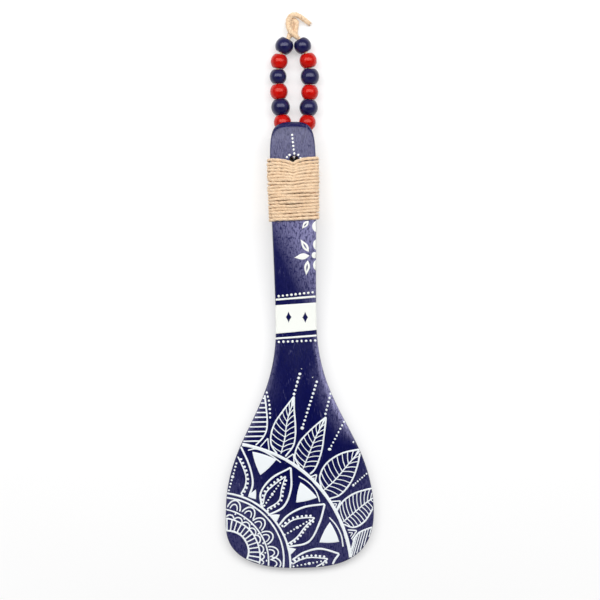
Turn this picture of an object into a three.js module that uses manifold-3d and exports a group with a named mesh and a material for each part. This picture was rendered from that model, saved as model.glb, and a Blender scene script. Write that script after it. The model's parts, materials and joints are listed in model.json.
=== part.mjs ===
// Painted wooden spoon: a flat-backed paddle spoon with a shallow dish, a twine binding round its handle
// and a hanger of twelve wooden beads on a twine that passes through the hole in the handle.
// Millimetres, +Z up. The spoon lies on the flat back of its blade, with the handle along +Y.
import * as THREE from "three";
import { mergeVertices } from "three/addons/utils/BufferGeometryUtils.js";
import Module from "manifold-3d";

// Outline of the wood, measured along the spoon from its tip
const TIP_LENGTH = 36;
const SHOULDER_LENGTH = 129;
const HANDLE_LENGTH = 135;
const BLADE_WIDTH = 100;
const NECK_WIDTH = 27.5;
const HANDLE_WIDTH = 30.8;
const NOSE_LENGTH = 28;
const TIP_SQUARENESS = 2.65;
const TIP_SKEW = 1.2;
const TIP_SKEW_LENGTH = 40;
const SHOULDER_FULLNESS = 0.42;
const NECK_FULLNESS = 0.47;
const HANDLE_FULLNESS = 0.33;
const NOSE_FULLNESS = 0.89;
const NOSE_CROWN = 0.84;

// Side profile of the wood
const THICKNESS = 9;
const TIP_THICKNESS = 6;
const EDGE_ROUND = 4.5;
const FLAT_LENGTH = 150;
const CREST_FROM_END = 50;
const CREST_LIFT = 12;
const END_DROP = 0.9;
const DISH_DEPTH = 3;
const DISH_FROM_TIP = 60;
const DISH_LENGTH = 112;
const DISH_WIDTH = 86;

// Hanging hole, twine and binding
const HOLE_DIAMETER = 6.4;
const HOLE_FROM_END = 26;
const HOLE_X = 0.8;
const CORD_DIAMETER = 2.6;
const KNOT_DIAMETER = 3.2;
const TWINE_DIAMETER = 2.2;
const WRAP_TURNS = 19;
const WRAP_GAP = 0.7;
const WRAP_BELOW_HOLE = 3.45;
const WRAP_DIP = 4;
const TAIL_LENGTH = 25.6;
const TAIL_COVER_LENGTH = 8.7;
const CLEARANCE = 0.3;

// Beads, from the lowest to the top one of each strand
const BEAD_DIAMETER = 12;
const BEAD_LENGTH = 9.8;
const BEAD_FACE_DIAMETER = 7.4;
const BORE_CLEARANCE = 1;
const TOP_BEAD_GAP = 0.5;
const HANGER_SHIFT = 1.9;
const BEAD_SIZES = {
  left: [0.985, 1.06, 1, 0.95, 0.96, 1.01],
  right: [0.95, 1.04, 0.975, 1.05, 0.975, 0.96],
};
const LEAN_OUT = THREE.MathUtils.degToRad(6);
const LEAN_TURN = THREE.MathUtils.degToRad(34);
const LEAN_POWER = 3.3;

// The tied ends of the two strands, opened and thicker there than in the beads:
// places from the middle of the top beads, heights from the table
const KNOT_LEFT_ROUTE = [
  [-3.1, 1.5, 5.6], [-2.2, 3.4, 3.9], [-1.5, 5.6, 2.5], [-1.3, 8.4, 1.8], [-1.2, 11.2, 1.75],
  [-0.4, 13.2, 1.75], [1.4, 13.3, 1.75], [2.4, 11.4, 1.75], [2.5, 8.4, 1.75], [2.1, 5.6, 1.75],
  [1.6, 3.8, 1.75],
];
const KNOT_RIGHT_ROUTE = [
  [1.8, 2.4, 7.2], [-0.8, 4.4, 7.3], [-2.9, 7, 6.4], [-3.6, 10, 5], [-3.2, 13.6, 4.7], [-1.2, 16.4, 4.9],
  [1.6, 17.1, 5.1], [4.6, 16, 4.6], [8, 13.6, 3.3], [11.4, 10.9, 1.8],
];

const SPOON_LENGTH = TIP_LENGTH + SHOULDER_LENGTH + HANDLE_LENGTH;
const NECK_Y = TIP_LENGTH + SHOULDER_LENGTH;
const NOSE_Y = SPOON_LENGTH - NOSE_LENGTH;
const CREST_Y = SPOON_LENGTH - CREST_FROM_END;
const HOLE_Y = SPOON_LENGTH - HOLE_FROM_END;
const CORD_RADIUS = CORD_DIAMETER / 2;
const CORD_OFFSET = CORD_RADIUS + CLEARANCE / 2;

// How finely the round forms are cut into flats
const OUTLINE_STEPS = { nose: 9, handle: 11, shoulder: 16, tip: 11 };
const HOLE_SIDES = 28;
const TWINE_SIDES = 6;
const CORD_SIDES = 8;
const CORD_STEPS = { anchor: 18, strand: 32, knot: 30 };
const BEAD_SIDES = 16;
const BEAD_PROFILE_STEPS = 8;

const wood = { roughness: 0.35, metalness: 0 };
const navy = () => new THREE.MeshStandardMaterial({ color: 0x12175a, ...wood });
const red = () => new THREE.MeshStandardMaterial({ color: 0xc4241b, ...wood });
const jute = () => new THREE.MeshStandardMaterial({ color: 0xdcb98f, roughness: 0.9, metalness: 0 });

const wasm = await Module();
wasm.setup();

const part = new THREE.Group();
part.position.y = -DISH_FROM_TIP;

function addPiece(name, geometry, material) {
  const mesh = new THREE.Mesh(geometry, material);
  mesh.name = name;
  part.add(mesh);
  return mesh;
}

function indexedGeometry(positions, triangles) {
  const geometry = new THREE.BufferGeometry();
  geometry.setAttribute("position", new THREE.Float32BufferAttribute(positions, 3));
  geometry.setIndex(triangles);
  geometry.computeVertexNormals();
  return geometry;
}

function toSolid(geometry) {
  const bare = geometry.clone();
  bare.deleteAttribute("normal");
  bare.deleteAttribute("uv");
  const merged = mergeVertices(bare);
  return new wasm.Manifold(new wasm.Mesh({
    numProp: 3,
    vertProperties: new Float32Array(merged.attributes.position.array),
    triVerts: new Uint32Array(merged.index.array),
  }));
}

function fromSolid(solid) {
  const mesh = solid.getMesh();
  return indexedGeometry(Array.from(mesh.vertProperties), Array.from(mesh.triVerts));
}

// Right half of the outline, from the end of the handle to the tip
function outlinePoints() {
  const end = HANDLE_WIDTH / 2;
  const neck = NECK_WIDTH / 2;
  const blade = BLADE_WIDTH / 2;
  const path = new THREE.Path();
  path.moveTo(0, SPOON_LENGTH);
  path.bezierCurveTo(
    NOSE_CROWN * end, SPOON_LENGTH,
    end, NOSE_Y + NOSE_FULLNESS * NOSE_LENGTH,
    end, NOSE_Y,
  );
  const flare = HANDLE_FULLNESS * (NOSE_Y - NECK_Y);
  path.bezierCurveTo(end, NOSE_Y - flare, neck, NECK_Y + flare, neck, NECK_Y);
  path.bezierCurveTo(
    neck, NECK_Y - NECK_FULLNESS * SHOULDER_LENGTH,
    blade, TIP_LENGTH + SHOULDER_FULLNESS * SHOULDER_LENGTH,
    blade, TIP_LENGTH,
  );
  const { nose, handle, shoulder, tip } = OUTLINE_STEPS;
  const stepsOfCurve = [nose, handle, shoulder];
  const points = [new THREE.Vector2(0, SPOON_LENGTH)];
  path.curves.forEach((curve, i) => points.push(...curve.getPoints(stepsOfCurve[i]).slice(1)));
  for (let i = 1; i <= tip; i += 1) {
    const angle = (Math.PI / 2) * (i / tip);
    const across = Math.max(Math.cos(angle), 0) ** (2 / TIP_SQUARENESS);
    const down = Math.sin(angle) ** (2 / TIP_SQUARENESS);
    points.push(new THREE.Vector2(i === tip ? 0 : blade * across, TIP_LENGTH * (1 - down)));
  }
  return points;
}

const outline = outlinePoints();

// Hand carving leaves the tip a little fuller on the left
function skewAt(y) {
  const share = THREE.MathUtils.clamp(y / TIP_SKEW_LENGTH, 0, 1);
  const greatest = 4 / 27;
  return -TIP_SKEW * share * (1 - share) ** 2 / greatest;
}

const closedOutline = [
  ...outline.map(({ x, y }) => new THREE.Vector2(skewAt(y) + x, y)),
  ...outline.slice(1, -1).reverse().map(({ x, y }) => new THREE.Vector2(skewAt(y) - x, y)),
];

function distanceToOutline(x, y) {
  const point = new THREE.Vector3(x, y, 0);
  const nearest = new THREE.Vector3();
  let least = Infinity;
  closedOutline.forEach((a, i) => {
    const b = closedOutline[(i + 1) % closedOutline.length];
    const edge = new THREE.Line3(new THREE.Vector3(a.x, a.y, 0), new THREE.Vector3(b.x, b.y, 0));
    edge.closestPointToPoint(point, true, nearest);
    least = Math.min(least, nearest.distanceTo(point));
  });
  return least;
}

function halfWidthAt(y) {
  const i = outline.findIndex((p, k) => k > 0 && p.y <= y);
  const above = outline[i - 1];
  const below = outline[i];
  return THREE.MathUtils.mapLinear(y, above.y, below.y, above.x, below.x);
}

// Height of the back above the table: flat under the blade, lifted under the handle
function backAt(y) {
  const lift = CREST_LIFT * THREE.MathUtils.smoothstep(y, FLAT_LENGTH, CREST_Y);
  const past = Math.max(0, y - CREST_Y) / CREST_FROM_END;
  return lift - END_DROP * past ** 2;
}

function thicknessAt(y) {
  return THREE.MathUtils.lerp(TIP_THICKNESS, THICKNESS, THREE.MathUtils.smoothstep(y, 0, FLAT_LENGTH));
}

function dishAt(x, y) {
  const away = (2 * x / DISH_WIDTH) ** 2 + (2 * (y - DISH_FROM_TIP) / DISH_LENGTH) ** 2;
  return DISH_DEPTH * Math.max(0, 1 - away) ** 2;
}

function frontAt(y) {
  return backAt(y) + thicknessAt(y);
}

function middleAt(y) {
  return backAt(y) + thicknessAt(y) / 2;
}

// The carved blank: rings of points across the spoon, front and back, joined at the rounded edge
function carvedBlank() {
  const edgeShares = [0, 0.1, 0.38, 1];
  const widestRound = 0.6;
  const innerColumns = 4;
  const positions = [];
  const triangles = [];
  const addPoint = (x, y, z) => positions.push(x, y, z) / 3 - 1;
  const columnsOf = (half) => {
    const round = Math.min(EDGE_ROUND, widestRound * half);
    const side = edgeShares.map((share) => half - share * round);
    for (let k = 1; k < innerColumns; k += 1) {
      side.push((half - round) * (1 - k / innerColumns));
    }
    return [...side.map((x) => -x), 0, ...side.reverse()];
  };
  const rings = outline.slice(1, -1).map(({ x: half, y }) => {
    const columns = columnsOf(half).map((x) => x + skewAt(y));
    const front = [];
    const back = [];
    columns.forEach((x, j) => {
      const inward = 1 - Math.min(distanceToOutline(x, y) / EDGE_ROUND, 1);
      const rise = thicknessAt(y) / 2 * Math.sqrt(1 - inward ** 2);
      const atEdge = j === 0 || j === columns.length - 1;
      front.push(addPoint(x, y, middleAt(y) + (atEdge ? 0 : rise - dishAt(x, y))));
      back.push(atEdge ? front[j] : addPoint(x, y, middleAt(y) - rise));
    });
    return { front, back };
  });
  const join = (upper, lower, facesUp) => {
    for (let j = 0; j + 1 < upper.length; j += 1) {
      const [a, b, c, d] = [upper[j], upper[j + 1], lower[j], lower[j + 1]];
      triangles.push(...(facesUp ? [a, c, b, b, c, d] : [a, b, c, b, d, c]));
    }
  };
  const close = (ring, pole, facesUp) => {
    for (let j = 0; j + 1 < ring.length; j += 1) {
      triangles.push(...(facesUp ? [pole, ring[j], ring[j + 1]] : [pole, ring[j + 1], ring[j]]));
    }
  };
  for (let i = 0; i + 1 < rings.length; i += 1) {
    join(rings[i].front, rings[i + 1].front, true);
    join(rings[i].back, rings[i + 1].back, false);
  }
  const endPole = addPoint(0, SPOON_LENGTH, middleAt(SPOON_LENGTH));
  const tipPole = addPoint(0, 0, middleAt(0));
  const last = rings.length - 1;
  close(rings[0].front, endPole, true);
  close(rings[0].back, endPole, false);
  close(rings[last].front, tipPole, false);
  close(rings[last].back, tipPole, true);
  return indexedGeometry(positions, triangles);
}

function spoonBody() {
  const radius = HOLE_DIAMETER / 2;
  const drill = new THREE.CylinderGeometry(radius, radius, 2 * THICKNESS, HOLE_SIDES);
  drill.rotateX(Math.PI / 2);
  drill.translate(HOLE_X, HOLE_Y, middleAt(HOLE_Y));
  return fromSolid(toSolid(carvedBlank()).subtract(toSolid(drill)));
}

// A closed tube through a list of points, with flat ends
function woundTube(points, radius, sides) {
  const positions = [];
  const triangles = [];
  const normal = new THREE.Vector3(0, 1, 0);
  points.forEach((point, i) => {
    const before = points[Math.max(i - 1, 0)];
    const after = points[Math.min(i + 1, points.length - 1)];
    const along = new THREE.Vector3().subVectors(after, before).normalize();
    const across = normal.clone().addScaledVector(along, -normal.dot(along)).normalize();
    const over = new THREE.Vector3().crossVectors(along, across);
    for (let k = 0; k < sides; k += 1) {
      const angle = 2 * Math.PI * k / sides;
      const corner = point.clone();
      corner.addScaledVector(across, radius * Math.cos(angle));
      corner.addScaledVector(over, radius * Math.sin(angle));
      positions.push(...corner.toArray());
    }
  });
  const lastRing = (points.length - 1) * sides;
  for (let ring = 0; ring < lastRing; ring += sides) {
    for (let k = 0; k < sides; k += 1) {
      const next = (k + 1) % sides;
      const [a, b, c, d] = [ring + k, ring + next, ring + sides + k, ring + sides + next];
      triangles.push(a, b, c, b, d, c);
    }
  }
  for (let k = 1; k + 1 < sides; k += 1) {
    triangles.push(0, k + 1, k, lastRing, lastRing + k, lastRing + k + 1);
  }
  return indexedGeometry(positions, triangles);
}

// The binding starts and ends on the back, and rides over the two cord tails on the front.
// Its upper turns dip to the middle, below the hole. The last one stops short of the back's middle,
// so that the cord can swing down there.
function wrapRoute() {
  const radius = (TWINE_DIAMETER - WRAP_GAP) / 2;
  const endSteps = 6;
  const bottom = HOLE_Y - WRAP_BELOW_HOLE + WRAP_DIP - (WRAP_TURNS - 0.5) * TWINE_DIAMETER;
  const tailEnd = HOLE_Y - TAIL_LENGTH;
  const tailHalf = CORD_OFFSET + CORD_RADIUS;
  const tailHeight = CORD_DIAMETER + CLEARANCE;
  const endStretch = 1 / Math.cos(Math.PI / endSteps / 2);
  const points = [];
  const addAt = (share, turn, place) => {
    const level = bottom + (turn + share) * TWINE_DIAMETER;
    const reach = thicknessAt(level) / 2 + CLEARANCE + radius;
    const flat = halfWidthAt(level) - thicknessAt(level) / 2;
    const ridge = tailHeight * THREE.MathUtils.smoothstep(level, tailEnd - TAIL_COVER_LENGTH, tailEnd);
    const [x, z] = place(flat, reach, ridge);
    const dip = WRAP_DIP * (turn + share) / WRAP_TURNS;
    const y = level - dip * Math.max(0, 1 - Math.abs(x) / (flat + reach));
    points.push(new THREE.Vector3(x, y, middleAt(y) + z));
  };
  const roundEnd = (side, angle) => (flat, reach) => [
    side * (flat + reach * endStretch * Math.cos(angle)),
    side * reach * endStretch * Math.sin(angle),
  ];
  const steps = [];
  [0, 1 / 3, 2 / 3].forEach((s) => steps.push((flat, reach) => [-s * flat, -reach]));
  for (let k = 0; k < endSteps; k += 1) {
    steps.push(roundEnd(-1, Math.PI * (0.5 - (k + 0.5) / endSteps)));
  }
  const ridgeAt = (x, flat, ridge) => {
    const slope = flat - HOLE_X - tailHalf;
    const up = THREE.MathUtils.clamp((flat - HOLE_X - Math.abs(x - HOLE_X)) / slope, 0, 1);
    return ridge * up;
  };
  const frontPlaces = [
    (flat) => (HOLE_X - tailHalf - flat) / 2,
    () => HOLE_X - tailHalf,
    () => HOLE_X,
    () => HOLE_X + tailHalf,
    (flat) => (HOLE_X + tailHalf + flat) / 2,
  ];
  frontPlaces.forEach((placeOf) => steps.push((flat, reach, ridge) => {
    const x = placeOf(flat);
    return [x, reach + ridgeAt(x, flat, ridge)];
  }));
  for (let k = 0; k < endSteps; k += 1) {
    steps.push(roundEnd(1, Math.PI * (0.5 - (k + 0.5) / endSteps)));
  }
  [2 / 3, 1 / 3].forEach((s) => steps.push((flat, reach) => [s * flat, -reach]));
  for (let turn = 0; turn < WRAP_TURNS; turn += 1) {
    const isLast = turn === WRAP_TURNS - 1;
    const stepsHere = isLast ? steps.slice(0, -1) : steps;
    stepsHere.forEach((place, k) => addAt(k / steps.length, turn, place));
  }
  return { points, radius, stepsInTurn: steps.length };
}

function leastGap({ points, radius, stepsInTurn }) {
  let least = Infinity;
  points.forEach((point, i) => {
    for (let k = i + Math.round(stepsInTurn / 2); k < points.length; k += 1) {
      least = Math.min(least, point.distanceTo(points[k]) - 2 * radius);
    }
  });
  return least;
}

function cordAlong(points, steps, radius = CORD_RADIUS) {
  const curve = new THREE.CatmullRomCurve3(points, false, "centripetal");
  const section = new THREE.Shape();
  section.absarc(0, 0, radius, 0, 2 * Math.PI, false);
  return new THREE.ExtrudeGeometry(section, {
    steps,
    extrudePath: curve,
    curveSegments: CORD_SIDES / 2,
    bevelEnabled: false,
  });
}

// One cord end: up through the hole, over its lower edge and down the front under the binding
function anchorRoute(side) {
  const x = HOLE_X + side * CORD_OFFSET;
  const lie = CLEARANCE + CORD_RADIUS;
  const front = frontAt(HOLE_Y);
  const room = HOLE_DIAMETER / 2 - CORD_RADIUS - CLEARANCE;
  const entry = HOLE_Y - Math.sqrt(Math.max(0, room ** 2 - CORD_OFFSET ** 2));
  const along = (down) => new THREE.Vector3(x, HOLE_Y - down, frontAt(HOLE_Y - down) + lie);
  const overEdge = HOLE_DIAMETER / 2 + CLEARANCE;
  const bendRise = 0.8 * CORD_RADIUS;
  return [
    new THREE.Vector3(x, entry, backAt(HOLE_Y)),
    new THREE.Vector3(x, entry, backAt(HOLE_Y) + THICKNESS / 3),
    new THREE.Vector3(x, entry, front - CORD_RADIUS),
    new THREE.Vector3(x, entry - CORD_RADIUS / 3, front),
    new THREE.Vector3(x, entry - CORD_RADIUS, front + bendRise),
    along(overEdge + CORD_RADIUS / 2),
    along((overEdge + TAIL_LENGTH) / 2),
    along(TAIL_LENGTH),
  ];
}

// Beads of one strand: each one's size, lean and centre, from the lowest up
function leanOf(index, count) {
  return LEAN_OUT - LEAN_TURN * (index / (count - 1)) ** LEAN_POWER;
}

const largestBead = BEAD_DIAMETER * Math.max(...BEAD_SIZES.left, ...BEAD_SIZES.right);
const CORD_Z = largestBead / 2;

// The lowest bead is slid out from under the rounded end of the handle until it is clear of it
function tuckedBeadY(x, radius) {
  const step = 0.02;
  const edge = THICKNESS / 2;
  const drop = middleAt(SPOON_LENGTH) - CORD_Z;
  let y = SPOON_LENGTH;
  while (Math.hypot(distanceToOutline(x, y) + edge, drop) < edge + radius + CLEARANCE) {
    y += step;
  }
  return y;
}

function strandBeads(sideName, side) {
  const sizes = BEAD_SIZES[sideName];
  const faceRadius = BEAD_FACE_DIAMETER / 2;
  const beads = [];
  let x = 0;
  let y = 0;
  sizes.forEach((size, i) => {
    const lean = leanOf(i, sizes.length);
    const half = size * BEAD_LENGTH / 2;
    if (i > 0) {
      const before = beads[i - 1];
      const turn = before.lean - lean;
      const gap = CLEARANCE + 2 * faceRadius * size * Math.tan(Math.abs(turn) / 2);
      const middle = (before.lean + lean) / 2;
      x = before.x + before.half * Math.sin(before.lean) + gap * Math.sin(middle) + half * Math.sin(lean);
      y = before.y + before.half * Math.cos(before.lean) + gap * Math.cos(middle) + half * Math.cos(lean);
    }
    beads.push({ size, lean, half, x, y });
  });
  const top = beads[beads.length - 1];
  const topSizes = BEAD_SIZES.left[sizes.length - 1] + BEAD_SIZES.right[sizes.length - 1];
  const shiftX = topSizes * BEAD_DIAMETER / 4 + TOP_BEAD_GAP / 2 - top.x;
  const shiftY = tuckedBeadY(side * shiftX + HANGER_SHIFT, sizes[0] * BEAD_DIAMETER / 2);
  return beads.map((bead) => ({
    ...bead,
    side,
    centre: new THREE.Vector3(side * (bead.x + shiftX) + HANGER_SHIFT, bead.y + shiftY, CORD_Z),
    along: new THREE.Vector3(side * Math.sin(bead.lean), Math.cos(bead.lean), 0),
  }));
}

function beadGeometry({ size }) {
  const radius = size * BEAD_DIAMETER / 2;
  const half = size * BEAD_LENGTH / 2;
  const face = size * BEAD_FACE_DIAMETER / 2;
  const bore = (CORD_DIAMETER + BORE_CLEARANCE) / 2;
  const pole = half / Math.sqrt(1 - (face / radius) ** 2);
  const startAngle = Math.asin(half / pole);
  const profile = [new THREE.Vector2(bore, -half)];
  for (let i = 0; i <= BEAD_PROFILE_STEPS; i += 1) {
    const angle = THREE.MathUtils.lerp(-startAngle, startAngle, i / BEAD_PROFILE_STEPS);
    profile.push(new THREE.Vector2(radius * Math.cos(angle), pole * Math.sin(angle)));
  }
  profile.push(new THREE.Vector2(bore, half), profile[0].clone());
  return new THREE.LatheGeometry(profile, BEAD_SIDES);
}

function strandRoute(beads) {
  const [first] = beads;
  const side = first.side;
  const startZ = backAt(HOLE_Y) - CLEARANCE - CORD_RADIUS;
  const start = new THREE.Vector3(HOLE_X + side * CORD_OFFSET, HOLE_Y, startZ);
  const lead = first.centre.clone().addScaledVector(first.along, -first.half - CORD_DIAMETER);
  const points = [start, new THREE.Vector3().lerpVectors(start, lead, 0.5), lead];
  beads.forEach(({ centre, along, half }) => {
    points.push(centre.clone().addScaledVector(along, -half));
    points.push(centre.clone().addScaledVector(along, half));
  });
  return points;
}

function knotRoute(beads, offsets, knotBase) {
  const top = beads[beads.length - 1];
  const start = top.centre.clone().addScaledVector(top.along, top.half + CLEARANCE);
  const lead = start.clone().addScaledVector(top.along, CORD_RADIUS);
  const rest = offsets.map(([x, y, z]) => new THREE.Vector3(HANGER_SHIFT + x, knotBase + y, z));
  return [start, lead, ...rest];
}

addPiece("spoon_body", spoonBody(), navy());

const wrap = wrapRoute();
addPiece("handle_wrap", woundTube(wrap.points, wrap.radius, TWINE_SIDES), jute());
console.log(`least gap between turns of the binding: ${leastGap(wrap).toFixed(2)} mm`);

const sides = { left: -1, right: 1 };
const strands = {};
Object.entries(sides).forEach(([name, side]) => {
  addPiece(`cord_anchor_${name}`, cordAlong(anchorRoute(side), CORD_STEPS.anchor), jute());
  strands[name] = strandBeads(name, side);
  addPiece(`cord_strand_${name}`, cordAlong(strandRoute(strands[name]), CORD_STEPS.strand), jute());
  strands[name].forEach((bead, i) => {
    const material = i % 2 === 0 ? red() : navy();
    const mesh = addPiece(`bead_${name}_${i + 1}`, beadGeometry(bead), material);
    mesh.position.copy(bead.centre);
    mesh.rotation.z = -side * bead.lean;
  });
});

const topExits = Object.values(strands).map((beads) => {
  const top = beads[beads.length - 1];
  return top.centre.y + top.half * top.along.y;
});
const knotBase = (topExits[0] + topExits[1]) / 2;
const knotRoutes = { left: KNOT_LEFT_ROUTE, right: KNOT_RIGHT_ROUTE };
Object.entries(knotRoutes).forEach(([name, offsets]) => {
  const route = knotRoute(strands[name], offsets, knotBase);
  addPiece(`knot_cord_${name}`, cordAlong(route, CORD_STEPS.knot, KNOT_DIAMETER / 2), jute());
});

export default part;
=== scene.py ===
# %% [markdown]
# # A painted wooden spoon
# This lesson dresses a plain model of a folk ornament: a flat paddle spoon of wood, painted navy and
# decorated by hand in white, with a binding of jute twine on its handle and a hanger of twelve wooden
# beads. The frame holds the plain solids at their real size. Each one is replaced here by a finer mesh
# that lies in the same place, so the joints still work, and each gets a material that is made of nodes
# only. The first cell loads the frame.
# It also sets the seed of all chance, so that the unevenness of handwork is the same on every run.

# %% Load the frame
import json
import math
import random
import bpy
import numpy as np
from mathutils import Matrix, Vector
from mathutils.bvhtree import BVHTree


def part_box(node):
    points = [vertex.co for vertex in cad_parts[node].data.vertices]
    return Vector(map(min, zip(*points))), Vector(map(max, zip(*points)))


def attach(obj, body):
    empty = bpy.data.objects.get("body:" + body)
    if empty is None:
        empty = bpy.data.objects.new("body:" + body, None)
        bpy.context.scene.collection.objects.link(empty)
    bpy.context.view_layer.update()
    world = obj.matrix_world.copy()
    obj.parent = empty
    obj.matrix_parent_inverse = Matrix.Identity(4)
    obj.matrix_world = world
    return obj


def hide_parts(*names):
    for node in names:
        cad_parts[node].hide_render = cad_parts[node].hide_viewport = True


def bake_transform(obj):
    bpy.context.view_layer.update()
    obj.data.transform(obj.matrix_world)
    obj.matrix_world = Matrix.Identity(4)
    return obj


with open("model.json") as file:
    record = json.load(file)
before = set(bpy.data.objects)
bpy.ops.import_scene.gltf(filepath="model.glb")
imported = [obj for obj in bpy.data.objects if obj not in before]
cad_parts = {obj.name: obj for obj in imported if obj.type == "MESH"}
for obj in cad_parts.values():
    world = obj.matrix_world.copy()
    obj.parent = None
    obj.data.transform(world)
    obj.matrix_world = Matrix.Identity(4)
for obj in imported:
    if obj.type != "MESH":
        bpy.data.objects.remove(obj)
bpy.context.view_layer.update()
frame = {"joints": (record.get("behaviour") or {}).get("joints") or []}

HAND_SEED = 11
random.seed(HAND_SEED)

# %% [markdown]
# ## Sizes of the wood
# The blank is sawn from a board, so its outline tells most of its form. These are the sizes that the
# plain solid was made with, in millimetres. Along the spoon, y is measured from the tip of the blade, and
# one small function takes a list of such points to the frame, which counts in metres from the middle of
# the dish.

# %% Sizes and side profile of the wood
MM = 0.001
TIP_LENGTH, SHOULDER_LENGTH, HANDLE_LENGTH, NOSE_LENGTH = 36, 129, 135, 28
BLADE_WIDTH, NECK_WIDTH, HANDLE_WIDTH = 100, 27.5, 30.8
TIP_SQUARENESS, TIP_SKEW, TIP_SKEW_LENGTH = 2.65, 1.2, 40
SHOULDER_FULLNESS, NECK_FULLNESS, HANDLE_FULLNESS = 0.42, 0.47, 0.33
NOSE_FULLNESS, NOSE_CROWN = 0.89, 0.84
THICKNESS, TIP_THICKNESS, EDGE_ROUND = 9, 6, 4.5
FLAT_LENGTH, CREST_FROM_END, CREST_LIFT, END_DROP = 150, 50, 12, 0.9
DISH_DEPTH, DISH_FROM_TIP, DISH_LENGTH, DISH_WIDTH = 3, 60, 112, 86
HOLE_DIAMETER, HOLE_FROM_END, HOLE_X = 6.4, 26, 0.8

SPOON_LENGTH = TIP_LENGTH + SHOULDER_LENGTH + HANDLE_LENGTH
NECK_Y = TIP_LENGTH + SHOULDER_LENGTH
NOSE_Y = SPOON_LENGTH - NOSE_LENGTH
CREST_Y = SPOON_LENGTH - CREST_FROM_END
HOLE_Y = SPOON_LENGTH - HOLE_FROM_END


def to_frame(points):
    """Points in millimetres from the tip, as the frame's metres."""
    return (np.asarray(points, float) - (0, DISH_FROM_TIP, 0)) * MM


def from_frame(points):
    """Points of the frame in metres, as millimetres from the tip."""
    return np.asarray(points, float) / MM + (0, DISH_FROM_TIP, 0)


def smoothstep(value, low, high):
    share = np.clip((np.asarray(value, float) - low) / (high - low), 0, 1)
    return share * share * (3 - 2 * share)


def back_height(y):
    past = np.maximum(0, np.asarray(y, float) - CREST_Y) / CREST_FROM_END
    return CREST_LIFT * smoothstep(y, FLAT_LENGTH, CREST_Y) - END_DROP * past ** 2


def thickness(y):
    return TIP_THICKNESS + (THICKNESS - TIP_THICKNESS) * smoothstep(y, 0, FLAT_LENGTH)


def middle_height(y):
    return back_height(y) + thickness(y) / 2


def front_height(y):
    return back_height(y) + thickness(y)


def dish(x, y):
    away = (2 * x / DISH_WIDTH) ** 2 + (2 * (y - DISH_FROM_TIP) / DISH_LENGTH) ** 2
    return DISH_DEPTH * np.maximum(0, 1 - away) ** 2


print("height of the handle's front at the hole:", float(front_height(HOLE_Y)), "mm")

# %% [markdown]
# ## Camera
# The spoon is seen straight from above, so the camera hangs over it and looks down. A long lens far away
# keeps the view almost parallel. How far away follows from the width of wood that one pixel of the
# photograph covers. The same sum, turned round, tells which place on the wood shows at a pixel, and the
# ornament is laid out with it.

# %% Camera over the spoon
PHOTO_PIXELS = 600
PIXEL = 0.671
AIM = (2.93, 120.6 + DISH_FROM_TIP, 12)
ROLL = math.radians(-1.13)
LENS, SENSOR = 150, 36
CAMERA_DISTANCE = PHOTO_PIXELS * PIXEL * LENS / SENSOR


def add_object(name, data):
    """A new object in the scene, for a camera, a lamp or a mesh."""
    added = bpy.data.objects.new(name, data)
    bpy.context.scene.collection.objects.link(added)
    return added


def from_photo(pixel):
    """The place on the spoon, x and y in millimetres, that shows at a pixel of the photograph."""
    right = (pixel[0] - PHOTO_PIXELS / 2) * PIXEL
    up = (PHOTO_PIXELS / 2 - pixel[1]) * PIXEL
    x = right * math.cos(ROLL) - up * math.sin(ROLL)
    y = right * math.sin(ROLL) + up * math.cos(ROLL)
    nearer = 1 - (float(front_height(AIM[1] + y)) - AIM[2]) / CAMERA_DISTANCE
    return np.array((AIM[0] + x * nearer, AIM[1] + y * nearer))


camera_data = bpy.data.cameras.new("camera")
camera_data.lens = LENS
camera_data.sensor_width = SENSOR
camera = add_object("camera", camera_data)
camera.location = to_frame((AIM[0], AIM[1], AIM[2] + CAMERA_DISTANCE))
camera.rotation_euler = (0, 0, ROLL)
bpy.context.scene.camera = camera
bpy.context.scene.view_settings.view_transform = "Standard"
print("camera height above the table:", round(camera.location.z, 3), "m")

# %% [markdown]
# ## Materials made of nodes
# A node material is a tree: each node takes numbers or colours in and hands a result on. Written out in
# full, every node needs several lines, so a few helpers are made first. Each adds one kind of node and
# returns the output that the next node takes in. A value that is the same all over is set on the shader's
# own socket.

# %% Colours, nodes and materials
def srgb(red, green, blue):
    """A colour written as on a screen, 0 to 255, as the linear colour that a shader takes."""
    shares = [channel / 255 for channel in (red, green, blue)]
    return tuple(s / 12.92 if s <= 0.04045 else ((s + 0.055) / 1.055) ** 2.4 for s in shares) + (1,)


def grey(level):
    return (level, level, level, 1)


def set_inputs(tree, node, inputs):
    """Set each of a node's inputs to a value, or link it from another node's output."""
    for socket, value in inputs.items():
        if isinstance(value, bpy.types.NodeSocket):
            tree.links.new(value, node.inputs[socket])
        else:
            node.inputs[socket].default_value = value


def add_node(tree, kind, inputs=None, **settings):
    node = tree.nodes.new(kind)
    for name, value in settings.items():
        setattr(node, name, value)
    set_inputs(tree, node, inputs or {})
    return node


def new_material(name, color, roughness, finish):
    """A material and its shader, with the values of its finish that are the same all over."""
    material = bpy.data.materials.new(name)
    material.use_nodes = True
    material.diffuse_color = color
    shader = material.node_tree.nodes["Principled BSDF"]
    set_inputs(material.node_tree, shader, {"Base Color": color, "Roughness": roughness, **finish})
    return material, shader


print("half grey on a screen, as a shader takes it:", round(srgb(128, 128, 128)[0], 3))

# %% A helper for each kind of node
def coordinates(tree):
    return add_node(tree, "ShaderNodeTexCoord").outputs


def split(tree, vector):
    return add_node(tree, "ShaderNodeSeparateXYZ", {"Vector": vector}).outputs


def calculate(tree, operation, *values):
    return add_node(tree, "ShaderNodeMath", dict(enumerate(values)), operation=operation).outputs["Value"]


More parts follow.
